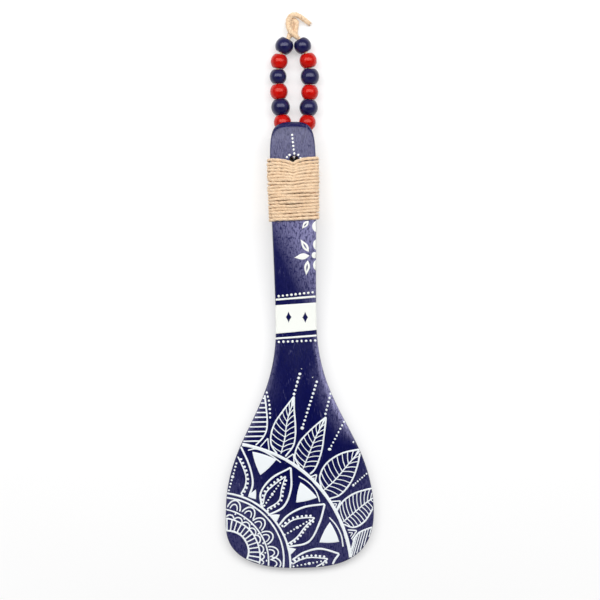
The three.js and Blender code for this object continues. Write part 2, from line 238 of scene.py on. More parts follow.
def combine(tree, operation, first, *others):
    """All values multiplied, or the largest of them, two at a time."""
    for value in others:
        first = calculate(tree, operation, first, value)
    return first


def remap(tree, value, given=(0, 1), wanted=(0, 1), smooth=False):
    """A value moved from one range to another, evenly or with soft ends."""
    inputs = {"Value": value, "From Min": given[0], "From Max": given[1],
              "To Min": wanted[0], "To Max": wanted[1]}
    way = "SMOOTHSTEP" if smooth else "LINEAR"
    return add_node(tree, "ShaderNodeMapRange", inputs, interpolation_type=way).outputs["Result"]


def ramp(tree, value, stops):
    """A colour ramp from stops, each a place from 0 to 1 and a colour."""
    node = add_node(tree, "ShaderNodeValToRGB", {"Fac": value})
    elements = node.color_ramp.elements
    while len(elements) < len(stops):
        elements.new(0.5)
    for element, (place, color) in zip(elements, stops):
        element.position = place
        element.color = color
    return node.outputs["Color"]


helpers = (coordinates, split, calculate, combine, remap, ramp)
print("helpers for nodes:", [helper.__name__ for helper in helpers])

# %% [markdown]
# ## Floor and light
# A large white sheet lies under the spoon. One wide softbox hangs high beyond the handle's end. It gives
# the beads their broad highlight and lies as a soft glare on the varnish of the upper handle. The rest
# comes from the sky: a white horizon, dim walls, so that the beads keep their colour where they mirror
# them, and a dark ceiling, so that the navy paint stays deep. Where the camera or a mirror sees the
# sheet, part of its white is its own light, and far out all of it. This keeps it white and its shadow
# pale without more light on the spoon.

# %% White sheet
FLOOR_SIZE, FLOOR_DROP = 6.0, 0.0004
SHEET_MIDDLE, SHEET_FADE, SHEET_PALENESS = (0, 0.12, 0), (0.17, 0.45), 0.4

white_sheet, sheet_shader = new_material("white_sheet", grey(0.99), 0.9, {"Specular IOR Level": 0.1})
tree = white_sheet.node_tree
sheet_ends = {0: coordinates(tree)["Object"], 1: SHEET_MIDDLE}
sheet_reach = add_node(tree, "ShaderNodeVectorMath", sheet_ends, operation="DISTANCE")
paleness = remap(tree, sheet_reach.outputs["Value"], SHEET_FADE, (SHEET_PALENESS, 1), smooth=True)
rays = add_node(tree, "ShaderNodeLightPath").outputs
seen = combine(tree, "MAXIMUM", rays["Is Glossy Ray"], rays["Is Transmission Ray"], rays["Is Camera Ray"])
backdrop = add_node(tree, "ShaderNodeEmission", {"Color": grey(1), "Strength": 1})
sheet = add_node(tree, "ShaderNodeMixShader", {
    "Fac": calculate(tree, "MULTIPLY", paleness, seen),
    1: sheet_shader.outputs["BSDF"],
    2: backdrop.outputs["Emission"],
})
set_inputs(tree, tree.nodes["Material Output"], {"Surface": sheet.outputs["Shader"]})

far = FLOOR_SIZE / 2
floor_mesh = bpy.data.meshes.new("floor")
floor_mesh.from_pydata([(-far, -far, 0), (far, -far, 0), (far, far, 0), (-far, far, 0)], [], [(0, 1, 2, 3)])
floor_mesh.materials.append(white_sheet)
floor = add_object("floor", floor_mesh)
floor.location.z = -FLOOR_DROP
print("sheet:", FLOOR_SIZE, "m wide,", len(tree.nodes), "nodes")

# %% Softbox and sky
SOFTBOX_PLACE, SOFTBOX_TARGET = (0.06, 0.71, 1.2), (0.06, 0.71, 0.0)
SOFTBOX_SIZE, SOFTBOX_POWER = (2.6, 0.86), 29.5
# height over the horizon, where 1 is straight up, and brightness
SKY_STOPS = [(0.09, 1.0), (0.13, 0.35), (0.7, 0.35), (0.9, 0.03)]

lamp_data = bpy.data.lights.new("softbox", "AREA")
lamp_data.shape = "RECTANGLE"
lamp_data.size, lamp_data.size_y = SOFTBOX_SIZE
lamp_data.energy = SOFTBOX_POWER
softbox = add_object("softbox", lamp_data)
softbox.location = SOFTBOX_PLACE
aim = Vector(SOFTBOX_TARGET) - Vector(SOFTBOX_PLACE)
softbox.rotation_euler = aim.to_track_quat("-Z", "Y").to_euler()

world = bpy.data.worlds.new("studio")
world.use_nodes = True
bpy.context.scene.world = world
sky = world.node_tree
sky_height = split(sky, coordinates(sky)["Generated"])["Z"]
sky_light = ramp(sky, sky_height, [(height, grey(level)) for height, level in SKY_STOPS])
set_inputs(sky, sky.nodes["Background"], {"Color": sky_light})

# %% [markdown]
# ## Twine
# Jute twine is spun from a few loose strands that turn round each other, and stray fibres stand out of
# it. A tube whose section has lobes, turned a little from ring to ring, gives the twisted strands in one
# closed mesh. A curve object with a bevel would be quicker to make, but its section doesn't turn along
# the way. The place along and around the twine is kept on each vertex, so that the material can lay
# fibres along it. So is a painted shade, which darkens the cord where it lies in the hole. The material
# needs a few more helpers, for noise, for mixing colours and for bumps.

# %% Smooth curves
def smooth_route(points, samples=12):
    """A smooth curve through points: a centripetal Catmull-Rom spline, in the plane or in space."""
    given = np.asarray(points, float)
    given = np.vstack([2 * given[0] - given[1], given, 2 * given[-1] - given[-2]])
    pieces = []
    for i in range(1, len(given) - 2):
        a, b, c, d = given[i - 1:i + 3]
        t0 = 0.0
        t1 = t0 + np.linalg.norm(b - a) ** 0.5
        t2 = t1 + np.linalg.norm(c - b) ** 0.5
        t3 = t2 + np.linalg.norm(d - c) ** 0.5
        t = np.linspace(t1, t2, samples, endpoint=False)[:, None]
        ab = ((t1 - t) * a + (t - t0) * b) / (t1 - t0)
        bc = ((t2 - t) * b + (t - t1) * c) / (t2 - t1)
        cd = ((t3 - t) * c + (t - t2) * d) / (t3 - t2)
        abc = ((t2 - t) * ab + (t - t0) * bc) / (t2 - t0)
        bcd = ((t3 - t) * bc + (t - t1) * cd) / (t3 - t1)
        pieces.append(((t2 - t) * abc + (t - t1) * bcd) / (t2 - t1))
    return np.vstack(pieces + [given[-2:-1]])


def lengths_along(points):
    steps = np.linalg.norm(np.diff(points, axis=0), axis=1)
    return np.concatenate([[0], np.cumsum(steps)])


def even_steps(points, step):
    """The same line with its points the same distance apart."""
    along = lengths_along(points)
    count = max(2, int(round(along[-1] / step)) + 1)
    places = np.linspace(0, along[-1], count)
    return np.stack([np.interp(places, along, points[:, k]) for k in range(points.shape[1])], axis=1)


print("points of a smooth curve through three:", len(smooth_route([(0, 0), (1, 1), (2, 0)])))

# %% Pieces and tubes
def make_piece(name, points, faces, material):
    """A new smooth object from points in millimetres from the tip."""
    mesh = bpy.data.meshes.new(name)
    mesh.from_pydata(to_frame(points).tolist(), [], faces)
    mesh.validate()
    mesh.polygons.foreach_set("use_smooth", [True] * len(mesh.polygons))
    mesh.update()
    mesh.materials.append(material)
    return add_object(name, mesh)


def mark_points(piece, name, values):
    """Keep one number on each vertex, for the material to read as an attribute."""
    piece.data.attributes.new(name, "FLOAT", "POINT").data.foreach_set("value", values)


def tube_faces(rings, sides, first=0, closed=False, flipped=False):
    """Quads between neighbouring rings of points, which are numbered ring by ring."""
    faces = []
    for i in range(rings if closed else rings - 1):
        low, high = first + i * sides, first + (i + 1) % rings * sides
        for k in range(sides):
            n = (k + 1) % sides
            if flipped:
                faces.append((low + k, high + k, high + n, low + n))
            else:
                faces.append((low + k, low + n, high + n, high + k))
    return faces


def tube_axes(path):
    """Two directions across a path at each of its points, carried along without twist."""
    ahead = np.gradient(path, axis=0)
    ahead /= np.linalg.norm(ahead, axis=1)[:, None]
    first = np.cross(ahead[0], (0, 0, 1) if abs(ahead[0][2]) < 0.9 else (1, 0, 0))
    across = [first / np.linalg.norm(first)]
    for direction in ahead[1:]:
        turned = across[-1] - direction * np.dot(across[-1], direction)
        across.append(turned / np.linalg.norm(turned))
    across = np.array(across)
    return across, np.cross(ahead, across)


print("faces of a tube of three rings and four sides:", len(tube_faces(3, 4)))

# %% Helpers for patterns
def mix(tree, share, first, second, blend="MIX"):
    inputs = {"Fac": share, "Color1": first, "Color2": second}
    return add_node(tree, "ShaderNodeMixRGB", inputs, blend_type=blend).outputs["Color"]


def noise(tree, place, scale, detail, roughness=0.5):
    inputs = {"Vector": place, "Scale": scale, "Detail": detail, "Roughness": roughness}
    return add_node(tree, "ShaderNodeTexNoise", inputs).outputs["Fac"]


def stretched(tree, place, scale, turn=0):
    """Texture coordinates scaled by another factor on each axis, after a turn about the height."""
    inputs = {"Vector": place, "Rotation": (0, 0, turn), "Scale": scale}
    return add_node(tree, "ShaderNodeMapping", inputs).outputs["Vector"]


def bump(tree, height, strength, distance):
    inputs = {"Strength": strength, "Distance": distance, "Height": height}
    return add_node(tree, "ShaderNodeBump", inputs).outputs["Normal"]


def attribute(tree, name):
    return add_node(tree, "ShaderNodeAttribute", attribute_name=name).outputs["Fac"]


helpers = (mix, noise, stretched, bump, attribute)
print("helpers for patterns:", [helper.__name__ for helper in helpers])

# %% Twine of jute
# a twine with no painted shade along it
UNSHADED = [(0, 0), (1, 0)]

jute, jute_shader = new_material("jute", srgb(226, 194, 156), 0.95,
                                 {"Specular IOR Level": 0.2, "Sheen Weight": 0.15})
tree = jute.node_tree
twine_place = {"X": attribute(tree, "along"), "Y": attribute(tree, "around")}
on_twine = add_node(tree, "ShaderNodeCombineXYZ", twine_place).outputs["Vector"]
fibre_place = stretched(tree, on_twine, (0.22, 14, 1))
fibres = noise(tree, fibre_place, scale=2.2, detail=5, roughness=0.65)
patches = noise(tree, coordinates(tree)["Object"], scale=140, detail=3)
fibre_colors = ramp(tree, fibres, [(0.32, srgb(150, 106, 70)), (0.54, srgb(251, 229, 201))])
patch_colors = mix(tree, patches, srgb(244, 228, 208), srgb(255, 254, 250))
jute_colors = mix(tree, 0.85, fibre_colors, patch_colors, blend="MULTIPLY")
set_inputs(tree, jute_shader, {
    # painted shade: the twine is mixed toward dark brown where it lies in the hole
    "Base Color": mix(tree, attribute(tree, "painted_shade"), jute_colors, srgb(40, 26, 20)),
    "Normal": bump(tree, fibres, strength=0.7, distance=0.0003),
})


def twine(name, path, radii, strands, pitch, depth, sides=14, step=0.6, shade_stops=UNSHADED):
    """A closed twisted tube of jute with a lobe for each strand.

    Radii and the painted shade are given at shares of its length."""
    path = even_steps(path, step)
    across, over = tube_axes(path)
    along = lengths_along(path)
    share = along / along[-1]
    angles = np.linspace(0, 2 * math.pi, sides, endpoint=False)
    turn = 2 * math.pi * along / pitch
    lobes = np.abs(np.sin(strands / 2 * (angles[None, :] - turn[:, None])))
    reach = np.interp(share, *zip(*radii))[:, None] * (1 - depth + depth * lobes)
    spin = (np.cos(angles)[None, :, None] * across[:, None, :]
            + np.sin(angles)[None, :, None] * over[:, None, :])
    points = path[:, None, :] + reach[..., None] * spin
    last = (len(path) - 1) * sides
    ends = [tuple(range(sides))[::-1], tuple(range(last, last + sides))]
    piece = make_piece(name, points.reshape(-1, 3), tube_faces(len(path), sides) + ends, jute)
    mark_points(piece, "along", np.repeat(along, sides))
    mark_points(piece, "painted_shade", np.repeat(np.interp(share, *zip(*shade_stops)), sides))
    mark_points(piece, "around", (np.tile(angles, len(path)) - np.repeat(turn, sides)) / (2 * math.pi))
    return piece


print("jute nodes:", len(tree.nodes))

# %% [markdown]
# ## Bead cords
# The hanger is strung on two cords. Each comes out of the hole's back, runs through six beads and is tied
# to the other above them, where one end is left as a trimmed tail. The route is the plain solid's own,
# and the cord leaves the wood inside the hole. Pulled tight in the beads, the cord swells again in the
# knot and in the hole.

# %% Places of the beads and the knot
HANGER_SHIFT = 1.9
BEAD_LENGTH_SHARE = 9.8 / 12
BEADS_PER_STRAND = 6
SIDES = {"left": -1, "right": 1}
joints = {joint["name"]: joint for joint in frame["joints"]}


def strand_beads(side):
    """Centre, axis, radius and half length of each bead of a strand, from the frame."""
    beads = []
    for i in range(1, BEADS_PER_STRAND + 1):
        joint = joints[f"{side}_bead_{i}_turn"]
        low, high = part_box(f"bead_{side}_{i}")
        radius = (high[2] - low[2]) / 2 / MM
        beads.append({
            "centre": from_frame(joint["pos_m"]),
            "axis": np.array(joint["axis"], float),
            "radius": radius,
            "half": radius * BEAD_LENGTH_SHARE,
        })
    return beads


strands = {side: strand_beads(side) for side in SIDES}
top_beads = [beads[-1] for beads in strands.values()]
knot_height = sum(bead["centre"][1] + bead["half"] * bead["axis"][1] for bead in top_beads) / 2
knot_base = np.array((HANGER_SHIFT, knot_height, 0))
print("beads:", {side: len(beads) for side, beads in strands.items()}, "knot at:", knot_base.round(1), "mm")

# %% Two cords from the hole through the beads to the knot
CORD_DIAMETER, CLEARANCE = 2.6, 0.3
CORD_RADIUS = CORD_DIAMETER / 2
CORD_OFFSET = CORD_RADIUS + CLEARANCE / 2
CORD_TWIST = {"strands": 3, "pitch": 7, "depth": 0.22, "sides": 20, "step": 0.5}
HOLE_CORD_RADIUS, HOLE_CORD_SHARES = 1.6, (0.06, 0.12)
KNOT_SWELL_SHARE, KNOT_END_SHARE = 0.03, 0.86
KNOT_RADII = {"left": (2.0, 1.8), "right": (1.95, 1.65)}
# painted shade along the bead cords, at shares of their length: dark inside the hole
CORD_SHADE_STOPS = [(0, 1), (0.045, 1), (0.06, 0)]
LOOP_MIDDLE, LOOP_RADIUS, LOOP_POINTS = (0.4, 11.6, 2.1), 1.8, 7
small_loop = [(LOOP_MIDDLE[0] - LOOP_RADIUS * math.cos(a),
               LOOP_MIDDLE[1] + LOOP_RADIUS * math.sin(a),
               LOOP_MIDDLE[2]) for a in np.linspace(0, math.pi, LOOP_POINTS)]
KNOT_ROUTES = {
    "left": [(-2, 3.6, 4.3), (-1.5, 5.9, 2.8), (-1.4, 8.6, 2.1)] + small_loop
            + [(1.9, 8.6, 2.1), (1.5, 5.6, 2.1), (1.2, 3.8, 2.1)],
    "right": [(1.5, 2.4, 7.2), (-0.8, 4.4, 7.3), (-2.4, 7, 6.4), (-3.1, 10, 5), (-2.8, 13.6, 4.7),
              (-1, 16.2, 4.9), (1.6, 16.8, 5.1), (4.6, 15.6, 4.6), (7.8, 13.4, 3.3), (11.2, 10.9, 2.1)],
}
hole_back = float(back_height(HOLE_Y))


def bead_cord_route(side):
    """The cord's middle line, and how far along it the top bead ends, as a share of its length."""
    beads = strands[side]
    x = HOLE_X + SIDES[side] * CORD_OFFSET
    swing_height = hole_back - CLEARANCE - CORD_RADIUS
    start = np.array((x, HOLE_Y, swing_height))
    lead = beads[0]["centre"] - beads[0]["axis"] * (beads[0]["half"] + CORD_DIAMETER)
    route = [(x, HOLE_Y - CORD_RADIUS, hole_back + THICKNESS / 3),
             (x, HOLE_Y - CORD_RADIUS / 2, hole_back + CORD_RADIUS)]
    route += [start + (0, CORD_RADIUS / 2, 0), (start + lead) / 2, lead]
    route += [bead["centre"] for bead in beads]
    top = beads[-1]
    route.append(top["centre"] + top["axis"] * top["half"])
    through_beads = lengths_along(smooth_route(route))[-1]
    route += [knot_base + offset for offset in np.array(KNOT_ROUTES[side])]
    line = smooth_route(route)
    return line, through_beads / lengths_along(line)[-1]


bead_cords = {}
for side in SIDES:
    route, knot_start = bead_cord_route(side)
    knot_radius, end_radius = KNOT_RADII[side]
    radii = [(0, HOLE_CORD_RADIUS), (HOLE_CORD_SHARES[0], HOLE_CORD_RADIUS),
             (HOLE_CORD_SHARES[1], CORD_RADIUS), (knot_start, CORD_RADIUS),
             (knot_start + KNOT_SWELL_SHARE, knot_radius), (KNOT_END_SHARE, knot_radius), (1, end_radius)]
    cord = twine(f"bead_cord_{side}", route, radii, shade_stops=CORD_SHADE_STOPS, **CORD_TWIST)
    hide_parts(f"cord_strand_{side}", f"knot_cord_{side}")
    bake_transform(cord)
    bead_cords[side] = cord

# %% [markdown]
# ## Cord ends under the binding
# On the front, the two cord ends come up through the hole, bend over its lower edge and lie side by side
# down the handle, where the binding holds them. Only the bend shows, with a painted shade where it leaves
# the hole, and the rest is felt as a ridge under the turns.

# %% Two tails over the edge of the hole
TAIL_LENGTH = 25.6
TAIL_TWIST = {"strands": 3, "pitch": 9, "depth": 0.2}
# painted shade along the tails, at shares of their length: dark in the hole, fading under the binding
TAIL_SHADE_STOPS = [(0, 1), (0.22, 1), (0.32, 0.6), (0.42, 0)]
# millimetres down the handle, and height over the front in radii of the cord
TAIL_BEND = [(0.1, -2.2), (0.9, -0.7), (2.1, 0.6)]


def tail_route(side):
    x = HOLE_X + SIDES[side] * CORD_OFFSET
    lie = CLEARANCE + CORD_RADIUS
    front = float(front_height(HOLE_Y))
    entry = HOLE_Y - CORD_RADIUS
    over_edge = HOLE_DIAMETER / 2 + CLEARANCE
    route = [(x, entry, hole_back + CLEARANCE), (x, entry, hole_back + THICKNESS / 3)]
    route += [(x, entry - down, front + rise * CORD_RADIUS) for down, rise in TAIL_BEND]
    for down in (over_edge + CORD_RADIUS, (over_edge + TAIL_LENGTH) / 2, TAIL_LENGTH):
        route.append((x, HOLE_Y - down, float(front_height(HOLE_Y - down)) + lie))
    return smooth_route(route)


for side in SIDES:
    radii = [(0, CORD_RADIUS), (1, CORD_RADIUS)]
    tail = twine(f"cord_tail_{side}", tail_route(side), radii, shade_stops=TAIL_SHADE_STOPS, **TAIL_TWIST)
    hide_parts(f"cord_anchor_{side}")
    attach(tail, "spoon")
    print(tail.name, "vertices", len(tail.data.vertices))

# %% [markdown]
# ## Binding
# One length of twine is wound nineteen times round the handle, each turn tight against the last. It
# starts and ends on the back. The two cords pull its upper turns down in the middle, so they dip just
# below the hole, and the turns rise over the two cord ends. The path lies on the handle's outline, so that
# is drawn first. Wound by hand, the turns wander a little, so a few slow waves shift the path up and down,
# and the twine is thicker here and thinner there.

# %% Outline of the wood
NOSE_STEPS, HANDLE_STEPS, SHOULDER_STEPS, TIP_STEPS = 28, 50, 60, 44


def bezier(a, b, c, d, steps):
    t = np.linspace(0, 1, steps + 1)[:, None]
    a, b, c, d = (np.array(p, float) for p in (a, b, c, d))
    return (1 - t) ** 3 * a + 3 * t * (1 - t) ** 2 * b + 3 * t ** 2 * (1 - t) * c + t ** 3 * d


def outline_half():
    """Right half of the spoon's outline, from the end of the handle to the tip."""
    end, neck, blade = HANDLE_WIDTH / 2, NECK_WIDTH / 2, BLADE_WIDTH / 2
    flare = HANDLE_FULLNESS * (NOSE_Y - NECK_Y)
    nose = bezier((0, SPOON_LENGTH), (NOSE_CROWN * end, SPOON_LENGTH),
                  (end, NOSE_Y + NOSE_FULLNESS * NOSE_LENGTH), (end, NOSE_Y), NOSE_STEPS)
    handle = bezier((end, NOSE_Y), (end, NOSE_Y - flare),
                    (neck, NECK_Y + flare), (neck, NECK_Y), HANDLE_STEPS)
    shoulder = bezier((neck, NECK_Y), (neck, NECK_Y - NECK_FULLNESS * SHOULDER_LENGTH),
                      (blade, TIP_LENGTH + SHOULDER_FULLNESS * SHOULDER_LENGTH), (blade, TIP_LENGTH),
                      SHOULDER_STEPS)
    angle = np.linspace(0, math.pi / 2, TIP_STEPS + 1)[1:]
    power = 2 / TIP_SQUARENESS
    tip = np.stack([blade * np.abs(np.cos(angle)) ** power,
                    TIP_LENGTH * (1 - np.sin(angle) ** power)], axis=1)
    tip[-1, 0] = 0
    return np.vstack([nose, handle[1:], shoulder[1:], tip])


half_outline = outline_half()


def half_width(y):
    return np.interp(y, half_outline[::-1, 1], half_outline[::-1, 0])


print("widest half of the outline:", half_outline[:, 0].max(), "mm")

# %% Nineteen turns of twine round the handle
TWINE_DIAMETER, WRAP_GAP, WRAP_TURNS = 2.2, 0.7, 19
WRAP_BELOW_HOLE, WRAP_DIP, TAIL_COVER_LENGTH = 3.45, 4, 8.7
WRAP_SAMPLES, WRAP_STOPS_SHORT = 96, 1 / 11
WRAP_RADIUS, WRAP_SWELLS, WRAP_UNEVENNESS, DIP_FOCUS = 1.18, 240, 0.3, 3
WRAP_TWIST = {"strands": 2, "pitch": 9, "depth": 0.22, "sides": 14, "step": 0.7}
# size in millimetres of each wave, and how many of it one turn holds
WRAP_WAVES = [(0.13, 0.31), (0.13, 0.83), (0.1, 1.9), (0.09, 3.3), (0.09, 5.3)]
# shares of a turn where the twine passes from the back to the left end, front, right end and back again
WRAP_STAGES = np.array((0, 3, 9, 14, 20, 22)) / 22


def uneven(amount):
    """A factor near one, as uneven as handwork is."""
    return 1 + amount * (random.random() - 0.5)


def wrap_route():
    radius = (TWINE_DIAMETER - WRAP_GAP) / 2
    bottom = HOLE_Y - WRAP_BELOW_HOLE + WRAP_DIP - (WRAP_TURNS - 0.5) * TWINE_DIAMETER
    tail_end = HOLE_Y - TAIL_LENGTH
    tail_half = CORD_OFFSET + CORD_RADIUS
    turn = np.linspace(0, WRAP_TURNS - WRAP_STOPS_SHORT, WRAP_TURNS * WRAP_SAMPLES)
    share = turn % 1
    sway = sum(size * np.sin(2 * math.pi * (rate * turn + random.random())) for size, rate in WRAP_WAVES)
    level = bottom + turn * TWINE_DIAMETER
    reach = thickness(level) / 2 + CLEARANCE + radius
    flat = half_width(level) - thickness(level) / 2
    ridge = (CORD_DIAMETER + CLEARANCE) * smoothstep(level, tail_end - TAIL_COVER_LENGTH, tail_end)
    back_left, left_end, front, right_end, back_right = (
        np.interp(share, WRAP_STAGES[k:k + 2], [0, 1]) for k in range(len(WRAP_STAGES) - 1))
    x = flat * (-back_left + 2 * front - back_right)
    x += reach * (-np.sin(math.pi * left_end) + np.sin(math.pi * right_end))
    z = reach * (-np.cos(math.pi * left_end) - 1 + np.cos(math.pi * right_end))
    on_front = (share > WRAP_STAGES[2]) & (share < WRAP_STAGES[3])
    slope = flat - HOLE_X - tail_half
    rise = smoothstep((flat - HOLE_X - np.abs(x - HOLE_X)) / slope, 0, 1)
    z += np.where(on_front, ridge * rise, 0)
    dip = WRAP_DIP * (turn / WRAP_TURNS * np.maximum(0, 1 - np.abs(x) / (flat + reach))) ** DIP_FOCUS
    y = level - dip + sway
    return np.stack([x, y, middle_height(y) + z], axis=1)


wrap_radii = [(k / WRAP_SWELLS, WRAP_RADIUS * uneven(WRAP_UNEVENNESS)) for k in range(WRAP_SWELLS + 1)]
wrap = twine("twine_binding", wrap_route(), wrap_radii, **WRAP_TWIST)
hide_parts("handle_wrap")
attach(wrap, "spoon")
print(wrap.name, "vertices", len(wrap.data.vertices))

# %% [markdown]
# ## Stray fibres
# Jute is a coarse fibre, and short hairs stand out wherever the twine bends. They are rooted at random
# points of the binding and of the knot, lean away from the twine and taper to nothing. The cut end of the
# cord frays into a tuft. Blender's hair system would grow them too, but plain meshes go into any export.

# %% Hairs of the jute
HAIR_RADIUS, HAIR_RINGS, HAIR_SIDES, HAIR_BEND, HAIR_TIP = 0.07, 4, 3, 0.5, 0.05
# room over the table that a hair needs, in its lengths, and the slope at which it starts to need room
HAIR_ROOM, HAIR_LEVEL = 2, 0.2
HAIR_LEAN, HAIR_LEAN_AXES, SHORTEST_HAIR = 0.7, (1, 1, 0.3), 0.3
BINDING_HAIRS, BINDING_HAIR_LENGTH, BINDING_HAIR_SIDE = 260, 4.0, 0.75
KNOT_HAIRS, KNOT_HAIR_LENGTH = 60, 2.6
TUFT_HAIRS, TUFT_LEAN, TUFT_LENGTHS, TUFT_RINGS_BACK = 70, 0.25, (0.6, 1.4), 10


def scatter(spread):
    """A random direction, mostly no longer than the spread."""
    return np.array([random.gauss(0, spread) for axis in range(3)])


def hairs(name, roots, directions, lengths):
    """Many thin bent cones in one mesh, from points and directions in the frame's axes."""
    points, faces = [], []
    for root, direction, length in zip(roots, directions, lengths):
        direction = direction / np.linalg.norm(direction)
        bend = scatter(HAIR_BEND)
        aside = np.cross(direction, bend)
        aside /= np.linalg.norm(aside)
        over = np.cross(direction, aside)
        faces += tube_faces(HAIR_RINGS, HAIR_SIDES, len(points))
        for share in np.arange(HAIR_RINGS) / (HAIR_RINGS - 1):
            middle = root + length * (share * direction + 0.5 * share ** 2 * bend)
            size = HAIR_RADIUS * (1 + HAIR_TIP - share)
            for k in range(HAIR_SIDES):
                angle = 2 * math.pi * k / HAIR_SIDES
                points.append(middle + size * (math.cos(angle) * aside + math.sin(angle) * over))
                points[-1][2] = max(points[-1][2], HAIR_RADIUS)
    return make_piece(name, points, faces, jute)


def rooted_hairs(name, piece, count, longest, keep):
    """Hairs on random points of a piece that pass a test of place and normal and stay off the table."""
    roots, directions = [], []
    while len(roots) < count:
        vertex = random.choice(piece.data.vertices)
        place, normal = from_frame(vertex.co), np.array(vertex.normal)
        room = HAIR_ROOM * longest * max(0, HAIR_LEVEL - normal[2])
        if keep(place, normal) and place[2] > room:
            roots.append(place)
            directions.append(normal + scatter(HAIR_LEAN) * HAIR_LEAN_AXES)
    shares = [SHORTEST_HAIR + (1 - SHORTEST_HAIR) * random.random() ** 2 for root in roots]
    return hairs(name, roots, directions, [longest * share for share in shares])


binding_hairs = rooted_hairs("binding_hairs", wrap, BINDING_HAIRS, BINDING_HAIR_LENGTH,
                             lambda place, normal: abs(normal[2]) < BINDING_HAIR_SIDE)
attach(binding_hairs, "spoon")
knot_y = knot_base[1] + CORD_DIAMETER
for side, cord in bead_cords.items():
    knot_hairs = rooted_hairs(f"knot_hairs_{side}", cord, KNOT_HAIRS, KNOT_HAIR_LENGTH,
                              lambda place, normal: place[1] > knot_y)
    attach(knot_hairs, "bead_hanger")

cord_points = from_frame([vertex.co for vertex in bead_cords["right"].data.vertices])
cord_sides = CORD_TWIST["sides"]
cut_end = cord_points[-cord_sides:]
cut_middle = cut_end.mean(axis=0)
tuft_direction = cut_middle - cord_points[-cord_sides * TUFT_RINGS_BACK - cord_sides // 2]
tuft_direction /= np.linalg.norm(tuft_direction)
tuft_roots = [cut_middle + random.random() ** 0.5 * (random.choice(cut_end) - cut_middle)
              for k in range(TUFT_HAIRS)]
tuft_leans = [tuft_direction + scatter(TUFT_LEAN) for root in tuft_roots]
tuft_lengths = [TUFT_LENGTHS[0] + TUFT_LENGTHS[1] * random.random() for root in tuft_roots]
tuft = hairs("cord_end_tuft", tuft_roots, tuft_leans, tuft_lengths)
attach(tuft, "bead_hanger")
print("hairs on the binding:", len(binding_hairs.data.polygons) // ((HAIR_RINGS - 1) * HAIR_SIDES))

# %% [markdown]
# ## Beads
# The beads are turned from wood, drilled, dipped in lacquer and polished. They are flattened balls with a
# small flat face round each hole, and no two have quite the same size. A lathe profile makes them: out
# from the bore over a soft rim, round the ball and back through the bore. Lacquer is a clear coat over an
# even colour. A trace of the wood's grain shows in it as a fine bump that breaks up the highlight, and
# the light that the colour itself throws back is tinted.

# %% Twelve lacquered beads
BORE_DIAMETER = CORD_DIAMETER + 1
BEAD_FACE_SHARE = 7.4 / 12
BEAD_SIDES, BALL_POINTS, RIM_POINTS = 40, 25, 5
RIM_ROUND = 0.35


def lacquer(name, light, dark, glow):
    """Glossy lacquer over wood: two tones of one colour, a tinted highlight and a fine bump of grain."""
    finish = {"Specular IOR Level": 0.35, "Specular Tint": glow, "Coat Weight": 0.35, "Coat Roughness": 0.17}
    material, shader = new_material(name, light, 0.3, finish)
    tree = material.node_tree
    place = coordinates(tree)["Object"]
    grain = noise(tree, stretched(tree, place, (900, 160, 900)), scale=1, detail=4, roughness=0.6)
    cloud = noise(tree, place, scale=220, detail=2)
    relief = bump(tree, grain, strength=0.5, distance=0.0002)
    set_inputs(tree, shader, {
        "Base Color": mix(tree, cloud, dark, light),
        "Roughness": remap(tree, cloud, wanted=(0.16, 0.3)),
        "Normal": relief,
        "Coat Normal": relief,
    })
    return material


def bead_profile(bead):
    """Distance from the axis and place along it, once round the section of a bead."""
    radius, half, bore = bead["radius"], bead["half"], BORE_DIAMETER / 2
    face = radius * BEAD_FACE_SHARE
    pole = half / math.sqrt(1 - (face / radius) ** 2)
    widest = math.asin(half / pole)
    ball = [(radius * math.cos(a), pole * math.sin(a)) for a in np.linspace(-widest, widest, BALL_POINTS)]
    rim = [(bore + RIM_ROUND * (1 - math.cos(a)), half - RIM_ROUND * (1 - math.sin(a)))
           for a in np.linspace(0, math.pi / 2, RIM_POINTS)]
    lower = [(r, -along) for r, along in rim]
    return np.array(lower + ball + rim[::-1])


def make_bead(name, bead, material):
    out, along = bead_profile(bead).T[:, :, None, None]
    up = np.array((0, 0, 1))
    across = np.cross(bead["axis"], up)
    angles = np.linspace(0, 2 * math.pi, BEAD_SIDES, endpoint=False)[:, None]
    spin = np.cos(angles) * across + np.sin(angles) * up
    points = bead["centre"] + along * bead["axis"] + out * spin
    faces = tube_faces(len(points), BEAD_SIDES, closed=True, flipped=True)
    return make_piece(name, points.reshape(-1, 3), faces, material)


bead_finishes = [
    ("red_bead", lacquer("red_lacquer", srgb(214, 10, 2), srgb(150, 4, 1), srgb(255, 150, 120))),
    ("navy_bead", lacquer("navy_lacquer", srgb(23, 21, 82), srgb(9, 8, 42), srgb(225, 225, 255))),
]
for side, beads in strands.items():
    for i, bead in enumerate(beads):
        slot, material = bead_finishes[i % 2]
        piece = make_bead(f"turned_bead_{side}_{i + 1}", bead, material)
        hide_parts(f"bead_{side}_{i + 1}")
        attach(piece, f"{side}_bead_{i + 1}")
print("beads:", sum(len(beads) for beads in strands.values()))

# %% [markdown]
# ## Navy paint
# The wood is painted navy and varnished, with streaks of the brush along the grain and pores that stay
# open. On the handle, and at the tip, a glare of light on the varnish is painted into the colour, which
# looks a pale lavender. The scuffs are as pale, and a painted glint lies along the edge of the neck and
# shoulder. The painted glare shows only on faces that look up, and under the twine the wood is bare. All
# this is mixed from noises and from the place on the spoon. No node knows how far a point lies from the
# outline, so the painted glint on the edge is an attribute called worn, which a later cell sets.

# %% Streaks, painted glare and bare wood
NAVY_FINISH = {"Specular IOR Level": 0.3, "Coat Weight": 0.11, "Coat Roughness": 0.25}
